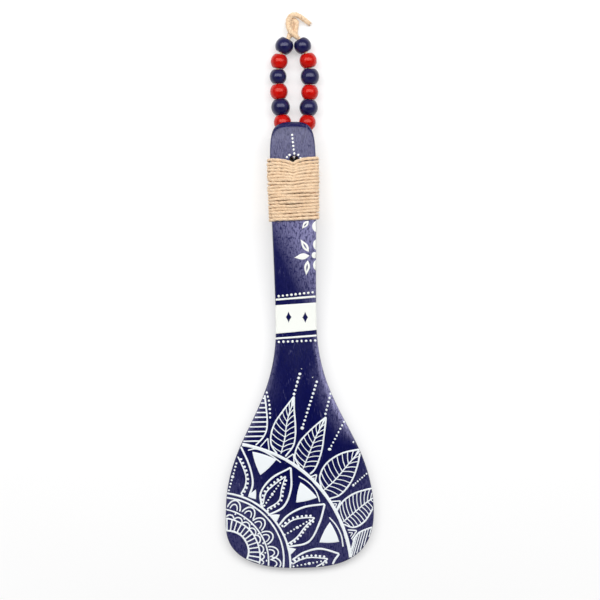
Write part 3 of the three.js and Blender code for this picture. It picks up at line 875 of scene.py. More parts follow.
# the painted glare begins on a slant across the handle: its lean, its length in metres, its strength there
GLARE_SLANT, GLARE_LENGTH = 2.2, 0.25
GLARE_STOPS = [(0.36, 0), (0.51, 0.04), (0.67, 0.85), (0.76, 1)]
# the painted glare is weaker toward the handle's end: its strength there and where it fades
NOSE_GLARE, NOSE_GLARE_PLACE = 0.3, (0.19, 0.215)
# a weak painted glare on the blade toward the tip: its slant, strength and place
TIP_LEAN, TIP_GLARE, TIP_GLARE_PLACE = -1.1, 0.18, (-0.075, -0.008)
SCUFF, SCUFF_TURN = 0.3, math.radians(30)
OPEN_PORE, PORE_ROUGHNESS = 0.25, 0.45
BARE_MIDDLE, BARE_REACH = 0.1915, 0.017

navy_paint, navy_shader = new_material("navy_paint", srgb(16, 20, 74), 0.4, NAVY_FINISH)
tree = navy_paint.node_tree
wood_coordinates = coordinates(tree)
place = wood_coordinates["Object"]
spot, facing = split(tree, place), split(tree, wood_coordinates["Normal"])

streaks = noise(tree, stretched(tree, place, (1500, 280, 1500)), scale=1, detail=5, roughness=0.6)
daubs = noise(tree, stretched(tree, place, (160, 45, 160)), scale=1, detail=3)
navy_tones = mix(tree, streaks, srgb(3, 5, 52), srgb(12, 16, 88))
navy_gloss = remap(tree, daubs, (0.3, 0.7), (0.15, 0.27))

# painted glare of the softbox on the handle's varnish, in a band that starts on a slant, left off faces that
# tilt toward the handle's end and weaker near it
slant = calculate(tree, "MULTIPLY_ADD", spot["X"], GLARE_SLANT, spot["Y"])
handle_glare_stops = [(stop, grey(share)) for stop, share in GLARE_STOPS]
handle_glare = ramp(tree, remap(tree, slant, (0, GLARE_LENGTH)), handle_glare_stops)
below_nose = remap(tree, spot["Y"], NOSE_GLARE_PLACE, (1, NOSE_GLARE))
not_uphill = remap(tree, facing["Y"], (0.02, 0.3), (1, 0), smooth=True)
handle_glare_here = combine(tree, "MULTIPLY", handle_glare, not_uphill, below_nose)
# a weak painted glare on the blade toward the tip
towards_tip = calculate(tree, "MULTIPLY_ADD", calculate(tree, "ABSOLUTE", spot["X"]), TIP_LEAN, spot["Y"])
tip_glare = remap(tree, towards_tip, TIP_GLARE_PLACE, (TIP_GLARE, 0), smooth=True)
scuff_place = stretched(tree, place, (900, 230, 230), SCUFF_TURN)
scuffs = remap(tree, noise(tree, scuff_place, scale=1, detail=2), (0.56, 0.7), (0, SCUFF))
scuffed = remap(tree, noise(tree, place, scale=70, detail=1), (0.48, 0.64))
scuffs_here = calculate(tree, "MULTIPLY", scuffs, scuffed)
# the painted glint on the edge (attribute worn), the real scuffs and the painted glare, whichever is
# strongest
glare_and_scuffs = combine(tree, "MAXIMUM", attribute(tree, "worn"), scuffs_here, tip_glare, handle_glare_here)

flecks = remap(tree, streaks, (0.38, 0.54), (0.3, 1))
closed_pores = remap(tree, noise(tree, place, scale=620, detail=1), (0.58, 0.68), (1, OPEN_PORE))
pore_gloss = remap(tree, closed_pores, (OPEN_PORE, 1), (PORE_ROUGHNESS, 0))
# the painted glare and the scuffs show only on faces that look up, broken into flecks and weaker at open
# pores, in a pale lavender
facing_up = remap(tree, facing["Z"], (0.15, 0.6), smooth=True)
glare_and_scuff_share = combine(tree, "MULTIPLY", glare_and_scuffs, facing_up, flecks, closed_pores)
navy_with_glare_and_scuffs = mix(tree, glare_and_scuff_share, navy_tones, srgb(140, 138, 180))
bound = calculate(tree, "COMPARE", spot["Y"], BARE_MIDDLE, BARE_REACH)
set_inputs(tree, navy_shader, {
    "Base Color": mix(tree, bound, navy_with_glare_and_scuffs, srgb(168, 108, 58)),
    "Roughness": calculate(tree, "MAXIMUM", navy_gloss, calculate(tree, "MULTIPLY", pore_gloss, handle_glare)),
    "Normal": bump(tree, streaks, strength=0.8, distance=0.0003),
})
print("navy paint nodes:", len(tree.nodes))

# %% [markdown]
# ## Carved wood
# The spoon is carved from one blank: flat at the back and hollowed by a shallow dish at the front. Its
# edge is round at the back, crisper at the front and worn at the handle's end, near which a hole is
# drilled. Rings of points across the outline give front and back. How far a point lies from the outline
# sets how much the edge has risen there. A lathed cutter with flared ends drills the hole, so its rims
# are soft, as sanding leaves them.

# %% Rings of points across the spoon
EDGE_SHARES = [0, 0.02, 0.07, 0.15, 0.26, 0.4, 0.56, 0.77, 1]
INNER_COLUMNS = 12
WIDEST_ROUND = 0.6
FRONT_SQUARENESS, NOSE_SQUARENESS, NOSE_ROUNDING = 6, 1.8, (10, 1)
NOSE_WEAR, NOSE_WEAR_LENGTH = 1.0, 14
# the most that share * (1 - share) ** 2 comes to
SKEW_PEAK = 4 / 27


def skew(y):
    """Hand carving leaves the tip a little fuller on the left."""
    share = np.clip(np.asarray(y, float) / TIP_SKEW_LENGTH, 0, 1)
    return -TIP_SKEW * share * (1 - share) ** 2 / SKEW_PEAK


def skewed(points):
    return points + np.stack([skew(points[:, 1]), np.zeros(len(points))], axis=1)


closed_outline = np.vstack([skewed(half_outline), skewed(half_outline * (-1, 1))[-2:0:-1]])


def distance_to_outline(points):
    edges = np.roll(closed_outline, -1, axis=0) - closed_outline
    squares = (edges ** 2).sum(axis=1)
    found = []
    for point in points:
        share = np.clip(((point - closed_outline) * edges).sum(axis=1) / squares, 0, 1)
        found.append(np.linalg.norm(closed_outline + share[:, None] * edges - point, axis=1).min())
    return np.array(found)


def spoon_columns(half):
    """Places across the spoon, close together at its two edges."""
    round_width = min(EDGE_ROUND, WIDEST_ROUND * half)
    side = [half - share * round_width for share in EDGE_SHARES]
    side += [(half - round_width) * (1 - k / INNER_COLUMNS) for k in range(1, INNER_COLUMNS)]
    return np.array([-x for x in side] + [0.0] + side[::-1])


def spoon_heights(columns, y):
    """Heights of the front and of the back across the spoon."""
    places = np.stack([columns, np.full(len(columns), y)], axis=1)
    inward = 1 - np.minimum(distance_to_outline(places) / EDGE_ROUND, 1)
    nose = smoothstep(y, SPOON_LENGTH - NOSE_ROUNDING[0], SPOON_LENGTH - NOSE_ROUNDING[1])
    squareness = FRONT_SQUARENESS + nose * (NOSE_SQUARENESS - FRONT_SQUARENESS)
    rise = thickness(y) / 2 * (1 - inward ** squareness) ** (1 / squareness)
    worn = NOSE_WEAR * max(0, (y - SPOON_LENGTH) / NOSE_WEAR_LENGTH + 1) ** 2
    front = middle_height(y) + rise - (dish(columns, y) + worn) * rise / rise.max()
    return front, middle_height(y) - thickness(y) / 2 * np.sqrt(1 - inward ** 2)


def spoon_mesh():
    points, front_rows, back_rows, faces = [], [], [], []
    for half, y in half_outline[1:-1]:
        columns = spoon_columns(half) + skew(y)
        front, back = spoon_heights(columns, y)
        row = list(range(len(points), len(points) + len(columns)))
        points += [(x, y, z) for x, z in zip(columns, front)]
        under = list(range(len(points), len(points) + len(columns) - 2))
        points += [(x, y, z) for x, z in zip(columns[1:-1], back[1:-1])]
        front_rows.append(row)
        back_rows.append(row[:1] + under + row[-1:])
    for upper, lower in zip(front_rows, front_rows[1:]):
        faces += [(upper[j], lower[j], lower[j + 1], upper[j + 1]) for j in range(len(upper) - 1)]
    for upper, lower in zip(back_rows, back_rows[1:]):
        faces += [(upper[j], upper[j + 1], lower[j + 1], lower[j]) for j in range(len(upper) - 1)]
    for y, front, back in ((SPOON_LENGTH, front_rows[0], back_rows[0]), (0, back_rows[-1], front_rows[-1])):
        pole = len(points)
        points.append((0, y, float(middle_height(y))))
        faces += [(pole, a, b) for a, b in zip(front, front[1:])]
        faces += [(pole, b, a) for a, b in zip(back, back[1:])]
    return points, faces


carving = spoon_mesh()
print("points of the carving:", len(carving[0]))

# %% The drilled hole and the painted glint on the edge
HOLE_RIM, HOLE_SIDES, HOLE_RIM_POINTS = 0.25, 48, 6
SHARP_ANGLE = math.radians(50)
# where a painted glint of light lies along the rounded edge of the neck and shoulder, brighter on the right
NECK_GLINT_START, NECK_GLINT_END, SHOULDER_GLINT_END = (80, 97), (150, 160), (118, 142)
EDGE_GLINT, EDGE_GLINT_REACH = 0.85, (1.2, 4.4)
SHOULDER_GLINT, SHOULDER_GLINT_REACH = 0.34, (2, 13)
LEFT_GLINT = 0.25


def hole_cutter():
    """A closed lathe round the hole's axis that flares where it meets the two faces."""
    radius = HOLE_DIAMETER / 2
    low, high = hole_back, float(front_height(HOLE_Y))
    flare = [(radius + HOLE_RIM * (1 - math.sin(a)), high - HOLE_RIM * (1 - math.cos(a)))
             for a in np.linspace(math.pi / 2, 0, HOLE_RIM_POINTS)][::-1]
    upper = [(radius + HOLE_RIM, high + THICKNESS)] + flare
    profile = upper + [(r, low + high - z) for r, z in upper[::-1]]
    turns = [2 * math.pi * k / HOLE_SIDES for k in range(HOLE_SIDES)]
    points = [(HOLE_X + r * math.cos(a), HOLE_Y + r * math.sin(a), z) for r, z in profile for a in turns]
    last = len(points) - HOLE_SIDES
    ends = [tuple(range(HOLE_SIDES)), tuple(range(last, len(points)))[::-1]]
    return points, tube_faces(len(profile), HOLE_SIDES, flipped=True) + ends


def edge_glint(points):
    """How strong a painted glint of light is beside the neck: most on the right, and farther in on the
    shoulder.
    """
    away = distance_to_outline(points[:, :2])
    y = points[:, 1]
    start = smoothstep(y, *NECK_GLINT_START)
    neck = start * (1 - smoothstep(y, *NECK_GLINT_END))
    shoulder = start * (1 - smoothstep(y, *SHOULDER_GLINT_END))
    glinting = (EDGE_GLINT * neck * (1 - smoothstep(away, *EDGE_GLINT_REACH))
              + SHOULDER_GLINT * shoulder * (1 - smoothstep(away, *SHOULDER_GLINT_REACH)))
    return glinting * np.where(points[:, 0] > 0, 1, LEFT_GLINT)


spoon = make_piece("carved_spoon", *carving, navy_paint)
cutter = make_piece("hole_cutter", *hole_cutter(), navy_paint)
drill = spoon.modifiers.new("drill", "BOOLEAN")
drill.object = cutter
drill.operation = "DIFFERENCE"
drill.solver = "EXACT"
bpy.context.view_layer.update()
drilled = bpy.data.meshes.new_from_object(spoon.evaluated_get(bpy.context.evaluated_depsgraph_get()))
spoon.modifiers.clear()
spoon.data = drilled
bpy.data.objects.remove(cutter)
spoon.data.set_sharp_from_angle(angle=SHARP_ANGLE)
spoon_points = from_frame([vertex.co for vertex in spoon.data.vertices])
# painted glint along the rounded edge, kept as the attribute worn
mark_points(spoon, "worn", edge_glint(spoon_points))
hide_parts("spoon_body")
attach(spoon, "spoon")
print(spoon.name, "faces", len(spoon.data.polygons))

# %% [markdown]
# ## White paint
# The ornament is drawn by hand in thick white paint, so each line stands a little above the navy and is
# rounded at its edges. Here a line is a low dome in section that is swept along a curve, and a dot or a
# filled shape is a low dome inside an outline. Each is laid out in the plane first. A ray straight down
# then finds the wood under every point, so the paint follows the dish and stops where the edge falls
# away. Thin paint lets the navy through, which an attribute called cover tells the material. The white is
# a little cooler on the blade than on the handle.

# %% The brush on the wood
STEEPEST, BRUSH_HEIGHT = 0.12, 100

wood_faces = [tuple(face.vertices) for face in spoon.data.polygons]
wood = BVHTree.FromPolygons(spoon_points.tolist(), wood_faces)
white = {"points": [], "faces": [], "cover": []}


def touch(place, steepest):
    """Where a brush that comes straight down meets the wood, with the wood's normal, or nothing."""
    found, normal, face, depth = wood.ray_cast((place[0], place[1], BRUSH_HEIGHT), (0, 0, -1))
    if found is None or normal.z < steepest:
        return None
    return np.array(found), np.array(normal)


def add_row(paint, row, lifts, cover, steepest=STEEPEST):
    """One row of points on the wood, each lifted off it, or nothing where the row runs over the edge."""
    hits = [touch(place, steepest) for place in row]
    if any(hit is None for hit in hits):
        return None
    first = len(paint["points"])
    paint["points"] += [tuple(place + normal * lift) for (place, normal), lift in zip(hits, lifts)]
    paint["cover"] += list(cover)
    return list(range(first, first + len(row)))


def join_rows(paint, rows, closed=False):
    for a, b in zip(rows, rows[1:]):
        if a and b:
            a, b = (a + a[:1], b + b[:1]) if closed else (a, b)
            paint["faces"] += [(a[k], b[k], b[k + 1], a[k + 1]) for k in range(len(a) - 1)]


print("wood under the brush:", len(wood_faces), "faces")

# %% Strokes, dots and filled shapes
LINE_ACROSS = np.array((-1, -0.8, 0, 0.8, 1))
LINE_DOME = np.array((-0.4, 0.6, 1, 0.6, -0.4))
LINE_COVER = np.array((0, 0.9, 1, 0.9, 0))
LINE_HEIGHT, LINE_STEP, LINE_TIP, WAVER, WAVER_LENGTH = 0.22, 0.6, 0.03, 0.2, 4
# share of the outline, share of the height and cover of each ring of a dome
DOT_RINGS = [(1, -0.2, 0.2), (0.9, 0.5, 0.8), (0.65, 0.8, 1), (0.3, 0.97, 1)]
FILL_RINGS = [(1, -0.3, 0.1), (0.94, 0.7, 0.8), (0.85, 1, 1), (0.45, 1, 1)]
DOT_SIDES, DOT_HEIGHT, DOT_UNEVENNESS, DOT_STRETCH = 12, 0.4, 0.16, 0.2
FILL_HEIGHT, FILL_BULGE, FILL_SIDE_POINTS, FILL_MARGIN = 0.2, 0.04, 12, 0.35


def left_of(direction):
    """A direction in the plane, or a row of them, turned a quarter to the left."""
    return direction[..., ::-1] * (-1, 1)


def beside(line):
    """Unit directions to the left of a line, at each of its points."""
    ahead = np.gradient(line, axis=0)
    return left_of(ahead) / np.linalg.norm(ahead, axis=1)[:, None]


def stroke(line, width):
    """A painted line along a curve, with round ends and the slight wavering of a hand."""
    line = even_steps(np.asarray(line, float), min(LINE_STEP, width / 2))
    along = lengths_along(line)
    from_end = np.minimum(along, along[-1] - along) / (width / 2)
    tip = np.sqrt(np.clip(1 - np.maximum(0, 1 - from_end) ** 2, LINE_TIP, 1))
    marks = np.arange(0, along[-1] + WAVER_LENGTH, WAVER_LENGTH)
    half = width / 2 * tip * np.interp(along, marks, [uneven(WAVER) for mark in marks])
    rows = line[:, None, :] + half[:, None, None] * LINE_ACROSS[None, :, None] * beside(line)[:, None, :]
    join_rows(white, [add_row(white, row, LINE_HEIGHT * end * LINE_DOME, LINE_COVER)
                      for row, end in zip(rows, tip)])


def blob(outline, height, rings=FILL_RINGS, paint=white):
    """A patch of paint inside an outline: rings of points toward the middle, closed by a point there."""
    outline = np.asarray(outline, float)
    reach = half_width(outline[:, 1]) - FILL_MARGIN
    outline = np.stack([np.clip(outline[:, 0], -reach, reach), outline[:, 1]], axis=1)
    middle = outline.mean(axis=0)
    rows = []
    for share, lift, cover in rings:
        row = middle + share * (outline - middle)
        rows.append(add_row(paint, row, [lift * height] * len(row), [cover] * len(row)))
    top = add_row(paint, [middle], [height], [1])
    if any(row is None for row in rows + [top]):
        return
    join_rows(paint, rows, closed=True)
    last = rows[-1]
    paint["faces"] += [(a, top[0], b) for a, b in zip(last, last[1:] + last[:1])]


def ellipse(middle, wide, tall, sides, start=0):
    angles = np.linspace(0, -2 * math.pi, sides, endpoint=False) + start
    return np.asarray(middle) + np.stack([wide * np.cos(angles), tall * np.sin(angles)], axis=1)


def dot(place, diameter):
    start = random.random()
    size = diameter / 2 * uneven(DOT_UNEVENNESS)
    stretch = uneven(DOT_STRETCH)
    blob(ellipse(place, size * stretch, size / stretch, DOT_SIDES, start), DOT_HEIGHT, DOT_RINGS)


def fill(corners, height=FILL_HEIGHT, bulge=FILL_BULGE, paint=white):
    """A filled shape with corners, and sides that swell a little."""
    corners = np.asarray(corners, float)
    turn = np.cross(corners[1] - corners[0], corners[2] - corners[1])
    corners = corners if turn < 0 else corners[::-1]
    outline = []
    for a, b in zip(corners, np.roll(corners, -1, axis=0)):
        share = np.linspace(0, 1, FILL_SIDE_POINTS, endpoint=False)[:, None]
        outline.append(a + share * (b - a) + 4 * bulge * share * (1 - share) * left_of(b - a))
    blob(np.vstack(outline), height, paint=paint)


print("corners of a dot:", len(ellipse((0, 0), 1, 1, DOT_SIDES)))

# %% Paint by pixels of the photograph
def on_wood(pixels):
    """Places on the wood, in millimetres from the tip, for pixels of the photograph."""
    return np.array([from_photo(pixel) for pixel in pixels])


def at_share(line, share):
    along = lengths_along(line)
    return np.array([np.interp(share * along[-1], along, line[:, k]) for k in range(2)])


def line_through(pixels, width):
    """A stroke along a smooth curve through pixels of the photograph."""
    line = smooth_route(on_wood(pixels))
    stroke(line, width)
    return line


def dotted_row(pixels, count, size, other_size=0, other=None):
    """Dots at even steps along a curve through pixels, one of them of another size."""
    line = smooth_route(on_wood(pixels))
    for k in range(count):
        dot(at_share(line, k / (count - 1)), other_size if k == other else size)


photo_middle = (PHOTO_PIXELS / 2, PHOTO_PIXELS / 2)
print("the photograph's middle pixel lies at:", on_wood([photo_middle]).round(1), "mm")

# %% The white paint
COOL_WHITE_END = (0.085, 0.1)
THINNING = 0.35

white_paint, white_shader = new_material("white_paint", srgb(240, 242, 236), 0.5,
                                         {"Specular IOR Level": 0.35})
tree = white_paint.node_tree
place = coordinates(tree)["Object"]
thinning = remap(tree, noise(tree, place, scale=700, detail=3), wanted=(-THINNING, THINNING))
coat = calculate(tree, "ADD", attribute(tree, "cover"), thinning)
white_colors = ramp(tree, coat, [(0.05, srgb(120, 126, 176)), (0.55, srgb(245, 248, 248))])
on_handle = remap(tree, split(tree, place)["Y"], COOL_WHITE_END)
white_tint = mix(tree, on_handle, srgb(250, 252, 255), srgb(255, 254, 248))
set_inputs(tree, white_shader, {"Base Color": mix(tree, 1, white_colors, white_tint, blend="MULTIPLY")})
print("white paint nodes:", len(tree.nodes))

# %% [markdown]
# ## Rosette
# The ornament is a common one of dot and henna painting: a sunflower that is cut off by the blade's left
# edge. Its eye is ringed by spokes and by two rows of scallops, and wider rings part these from the
# petals. The circles don't quite share one centre, as hand-drawn ones never do, so each has its own centre
# and radius. Positions are given as pixels of the photograph, and widths as real sizes in millimetres.

# %% Rings, spokes and scallops
RINGS = [
    # centre pixel, radius in pixels, width in millimetres
    ((228.3, 551.1), 20.3, 1.4),
    ((222.5, 555.9), 37.7, 1.15),
    ((214.7, 562.6), 54.3, 1.15),
    ((219.5, 561.3), 64.5, 1.25),
    ((216.5, 565.9), 74.0, 1.5),
    ((221.0, 573.0), 131.0, 2.35),
]
# size in millimetres of each wave of a ring, how often it goes round, and the latest angle it starts at
RING_WAVES, WAVE_START, RING_POINTS = [(0.12, 3), (0.1, 7)], 6, 120
SPOKE_CENTRE = (227, 552.5)
SPOKES, SPOKE_FIRST, SPOKE_LAST, SPOKE_WIDTH = 13, 89, -18.5, 1.0
SMALL_ARCHES = [
    # middle of the foot, and half the width in pixels
    ((229.9, 518.9), 4.1), ((238, 521.5), 4.1), ((245.6, 526.1), 4.1), ((251.8, 532.2), 4.1),
    ((256.4, 539.5), 4.3), ((259.6, 549.4), 4.2), ((260.2, 556.7), 2.9), ((259.7, 562.1), 2.4),
]
SMALL_ARCH_HEIGHT = 4
SMALL_DOTS = [(235.3, 514.2), (244.4, 518.8), (251.6, 524.3), (258.4, 533.7), (263.3, 543.2), (265.3, 552.9),
              (266.6, 560.7)]
SMALL_DOT = 1.3
BIG_ARCHES = [(233.4, 509.7), (247.2, 515.9), (256.8, 525.9), (264.1, 538.6), (269, 553.3), (271.4, 563.7)]
# half the width and the height in pixels of the two arches of a large scallop
OUTER_ARCH, INNER_ARCH = (6.6, 9.5), (3.6, 5.5)
ARCH_WIDTH, ARCH_POINTS = 1.05, 14
INNER_ARCH_WIDTH = ARCH_WIDTH * 0.85


def ring(centre, radius):
    angles = np.linspace(-math.pi, math.pi, RING_POINTS)
    wobble = sum(size * np.sin(times * angles + random.random() * WAVE_START) for size, times in RING_WAVES)
    far = (radius * PIXEL + wobble)[:, None]
    return from_photo(centre) + far * np.stack([np.cos(angles), np.sin(angles)], axis=1)


def ring_reach(start, out, centre, radius):
    """How far a line from inside a ring runs until it meets the ring."""
    gap = from_photo(centre) - start
    return gap @ out + math.sqrt((gap @ out) ** 2 - gap @ gap + (radius * PIXEL) ** 2)


def arch(base, centre, half, height):
    """A scallop that stands on a ring, away from the ring's centre."""
    foot, middle = on_wood([base, centre])
    out = (foot - middle) / np.linalg.norm(foot - middle)
    angles = np.linspace(0, math.pi, ARCH_POINTS)[:, None]
    return foot + PIXEL * (half * np.cos(angles) * left_of(out) + height * np.sin(angles) * out)


for centre, radius, width in RINGS:
    stroke(ring(centre, radius), width)
eye = from_photo(SPOKE_CENTRE)
for angle in np.radians(np.linspace(SPOKE_FIRST, SPOKE_LAST, SPOKES)):
    out = np.array((math.cos(angle), math.sin(angle)))
    ends = [eye + ring_reach(eye, out, centre, radius) * out for centre, radius, width in RINGS[:2]]
    stroke(ends, SPOKE_WIDTH)
for base, half in SMALL_ARCHES:
    stroke(arch(base, RINGS[1][0], half, SMALL_ARCH_HEIGHT), ARCH_WIDTH)
for place in on_wood(SMALL_DOTS):
    dot(place, SMALL_DOT)
for base in BIG_ARCHES:
    stroke(arch(base, RINGS[2][0], *OUTER_ARCH), ARCH_WIDTH)
    stroke(arch(base, RINGS[2][0], *INNER_ARCH), INNER_ARCH_WIDTH)
print("paint points after the rosette:", len(white["points"]))

# %% [markdown]
# ## Petals
# Each petal is drawn twice: a plain outline, and inside it a smaller petal whose line carries a row of
# dots, like the loops of a lace edge. A row of dots with a larger one in its middle runs along the petal.
# Filled triangles sit between the petals, with a thin arc beside each of the outer ones.

# %% Petals with dotted edges, and triangles between them
PETALS = [
    # sides of the outer and the inner petal, from the base to the tip, and the two ends of the row of dots
    {"outer": [[(262.8, 509.2), (260.5, 494), (270.9, 479.1), (290.8, 467.8)],
               [(267.8, 515.5), (283.5, 507), (290.8, 490), (290.8, 467.8)]],
     "inner": [[(263, 504.5), (265.6, 493.4), (275.3, 484), (285.7, 476.5)],
               [(266.9, 509.3), (279.5, 500.5), (281.5, 489.5), (285.7, 476.5)]],
     "row": [(264.3, 505.8), (280.2, 483.3)]},
    {"outer": [[(279.1, 525.5), (287.2, 516.1), (303, 507.8), (324.9, 504.2)],
               [(288.5, 546.9), (308.6, 541.9), (319.5, 523), (324.9, 504.2)]],
     "inner": [[(283.5, 527.4), (292.3, 520.5), (304.8, 518), (314.8, 518)],
               [(287.2, 544.4), (296.5, 538), (305.5, 526.5), (314.8, 518)]],
     "row": [(284.7, 535), (309.8, 520.5)]},
    {"outer": [[(292.3, 560.1), (303, 553), (319.9, 548.8), (339.3, 553.8)],
               [(331.2, 568.2), (334.5, 560.5), (339.3, 553.8)]],
     "inner": [[(292.3, 564.4), (299.8, 560), (309.8, 557.5), (328, 558.8)],
               [(316, 567), (322, 563.5), (328, 558.8)]],
     "row": [(293.5, 566.5), (324.9, 560.7)]},
    {"outer": [[(249, 496.7), (252.7, 484), (249.6, 466.6), (240.8, 446.5)]],
     "inner": [[(240.8, 494.2), (245.3, 486), (246, 477), (242.1, 465.3), (237.7, 456.5)]],
     "row": [(228.9, 490.4), (236.4, 463.4)]},
]
PETAL_WIDTH, LACE_WIDTH, LACE_DOT, LACE_STEP, LACE_OFFSET = 1.4, 1.05, 1.75, 2.7, 1.15
ROW_DOTS, ROW_DOT, ROW_MIDDLE_DOT = 9, 1.35, 2.3
TRIANGLES = [
    [(252.1, 451.5), (276.6, 459.7), (260.3, 475.4)],
    [(300.4, 482.3), (317.4, 497.9), (296, 503)],
    [(329.9, 521.8), (339.3, 541.9), (319.2, 542.5)],
    [(255.8, 489.5), (255.8, 499.3), (247.7, 496.7)],
    [(271.1, 514.9), (279.9, 514.9), (276.6, 522)],
    [(287, 547.7), (296.1, 549), (290, 555.2)],
]
ARCS = [
    [(247.7, 450.3), (255.9, 449), (268.4, 454), (281, 462.8)],
    [(298.5, 476.6), (308.6, 482.9), (316.1, 491.7), (319.9, 502.3)],
    [(329.3, 517.4), (336.2, 525.5), (341.2, 535.6), (343.1, 546.9)],
]
ARC_WIDTH = 0.95

for petal in PETALS:
    heart = on_wood(petal["row"]).mean(axis=0)
    for side in petal["outer"]:
        line_through(side, PETAL_WIDTH)
    for side in petal["inner"]:
        line = even_steps(smooth_route(on_wood(side)), LACE_STEP)
        stroke(line, LACE_WIDTH)
        aside = beside(line)
        outward = np.sign(((line - heart) * aside).sum(axis=1))[:, None]
        for place in (line + LACE_OFFSET * outward * aside)[:-1]:
            dot(place, LACE_DOT)
    dotted_row(petal["row"], ROW_DOTS, ROW_DOT, ROW_MIDDLE_DOT, ROW_DOTS // 2)
for corners in TRIANGLES:
    fill(on_wood(corners))
for pixels in ARCS:
    line_through(pixels, ARC_WIDTH)
print("paint points after the petals:", len(white["points"]))

# %% [markdown]
# ## Leaves
# Pointed leaves stand on the outer ring like the rays of a sun. A leaf has two sides and a midrib that
# all meet at its tip, and veins that leave the midrib and run toward the tip. The leaves at the blade's
# edge are cut off by it, so they have only one side and parallel veins. Small chevrons stand between the
# leaves, most of them double.

# %% Leaves and their veins
LEAVES = [
    # the two sides and the midrib, from the tip to the base
    [[(294.1, 396.3), (282.9, 411), (274.8, 423.2), (271.2, 434), (271.2, 444.5), (277.2, 454.5)],
     [(294.1, 396.3), (294.2, 410), (295.3, 424), (295.3, 436), (293.3, 446), (285.2, 456.8)],
     [(294.1, 398), (287.2, 421.4), (284.7, 439), (281, 454)]],
    [[(326.1, 417), (311.5, 429.2), (299.3, 443), (294.9, 456.5), (299.5, 467.5)],
     [(326.1, 417), (324.2, 434), (321.2, 453), (314.8, 469.5), (309.8, 474.6)],
     [(326.1, 417), (316.1, 436.5), (308.6, 455.3), (303, 469)]],
    [[(360.6, 449), (341, 453.8), (326.1, 464.1), (319.8, 477), (321.7, 489.2)],
     [(360.6, 449), (357.5, 465.3), (351, 482), (340, 495), (328.6, 499.2)],
     [(360.6, 450), (347.5, 465.3), (334.9, 480.4), (324, 490.4)]],
    [[(375, 487.6), (355.5, 493), (343.2, 501.2), (335.6, 513)],
     [(375.5, 504), (364, 522), (353.5, 527.4), (343.7, 524.3)],
     [(376, 496), (365, 503.6), (353.7, 513), (343.1, 521.8)]],
]
LEAF_WIDTH, RIB_WIDTH = 1.2, 0.9
VEINS, VEIN_WIDTH, VEIN_FIRST, VEIN_LAST, VEIN_LEAN = 10, 0.68, 0.16, 0.97, 0.14
VEIN_BEND, VEIN_SAMPLES = 0.05, 5
LEFT_LEAF = [(264.4, 393.5), (266.1, 407.5), (267.2, 420.5), (266.4, 430.5), (263.4, 437), (255.5, 445.5)]
LEFT_VEINS, LEFT_VEIN_TOP, LEFT_VEIN_BOTTOM, LEFT_VEIN_FROM = 10, 398.8, 441.5, 236
LOW_LEAF = [(352.5, 540.6), (358.8, 533), (366.3, 529.3), (374.5, 526.6)]
LOW_VEINS, LOW_VEIN_FIRST, LOW_VEIN_RUN, LOW_VEIN_DROP, LOW_VEIN_POINTS = 9, 0.1, -12, 40, 40
LEFT_VEIN_WIDTH, LOW_VEIN_WIDTH = VEIN_WIDTH * 1.5, VEIN_WIDTH * 1.15
CHEVRONS = [
    # apex and the two feet
    [(267.8, 438.3), (260.2, 446.9), (269, 450.3)],
    [(293.5, 454), (285.4, 459.7), (294.1, 463.6)],
    [(316.7, 474.7), (310.5, 477.2), (314.8, 484.1)],
    [(340.6, 501), (331.2, 501.7), (336.2, 510.5)],
    [(356.9, 530.6), (347.5, 529.9), (351.2, 539.3)],
]
CHEVRON_WIDTH, INNER_CHEVRON, SINGLE_CHEVRONS = 0.95, 0.45, 2
INNER_CHEVRON_WIDTH = CHEVRON_WIDTH * 0.7

for left, right, rib in LEAVES:
    midrib = line_through(rib, RIB_WIDTH)
    for pixels in (left, right):
        side = line_through(pixels, LEAF_WIDTH)
        for share in np.linspace(VEIN_FIRST, VEIN_LAST, VEINS):
            root, end = at_share(midrib, share), at_share(side, share - VEIN_LEAN)
            bend = (root + end) / 2 + VEIN_BEND * left_of(end - root)
            stroke(smooth_route([root, bend, end], VEIN_SAMPLES), VEIN_WIDTH)

left_side = line_through(LEFT_LEAF, LEAF_WIDTH)
for row in np.linspace(LEFT_VEIN_TOP, LEFT_VEIN_BOTTOM, LEFT_VEINS):
    start = from_photo((LEFT_VEIN_FROM, row))
    end = np.array((np.interp(-start[1], -left_side[:, 1], left_side[:, 0]), start[1]))
    stroke([start, end], LEFT_VEIN_WIDTH)
low_side = line_through(LOW_LEAF, LEAF_WIDTH)
outer_middle, outer_radius = from_photo(RINGS[-1][0]), RINGS[-1][1] * PIXEL
for share in np.linspace(LOW_VEIN_FIRST, 1, LOW_VEINS):
    run = np.linspace(0, 1, LOW_VEIN_POINTS)[:, None] * PIXEL * np.array((LOW_VEIN_RUN, -LOW_VEIN_DROP))
    line = at_share(low_side, share) + run
    stroke(line[np.linalg.norm(line - outer_middle, axis=1) > outer_radius], LOW_VEIN_WIDTH)
for number, pixels in enumerate(CHEVRONS):
    corners = on_wood(pixels)
    for foot in corners[1:]:
        stroke([foot, corners[0]], CHEVRON_WIDTH)
    if number >= SINGLE_CHEVRONS:
        base = (corners[1] + corners[2]) / 2
        inner = base + INNER_CHEVRON * (corners - base)
        for foot in inner[1:]:
            stroke([foot, inner[0]], INNER_CHEVRON_WIDTH)
print("paint points after the leaves:", len(white["points"]))

# %% [markdown]
# ## Dots, band and flower
# Rows of dots run from the leaves up the blade, and a dotted line points at the hole. A white band with
# two navy diamonds parts the blade from the handle, between two thin lines and two rows of dots. Half a
# flower shows at the handle's right edge: filled petals, and petals with a dark heart. The diamonds and
# hearts are painted over the white, so they are a second layer with the wood's own navy.

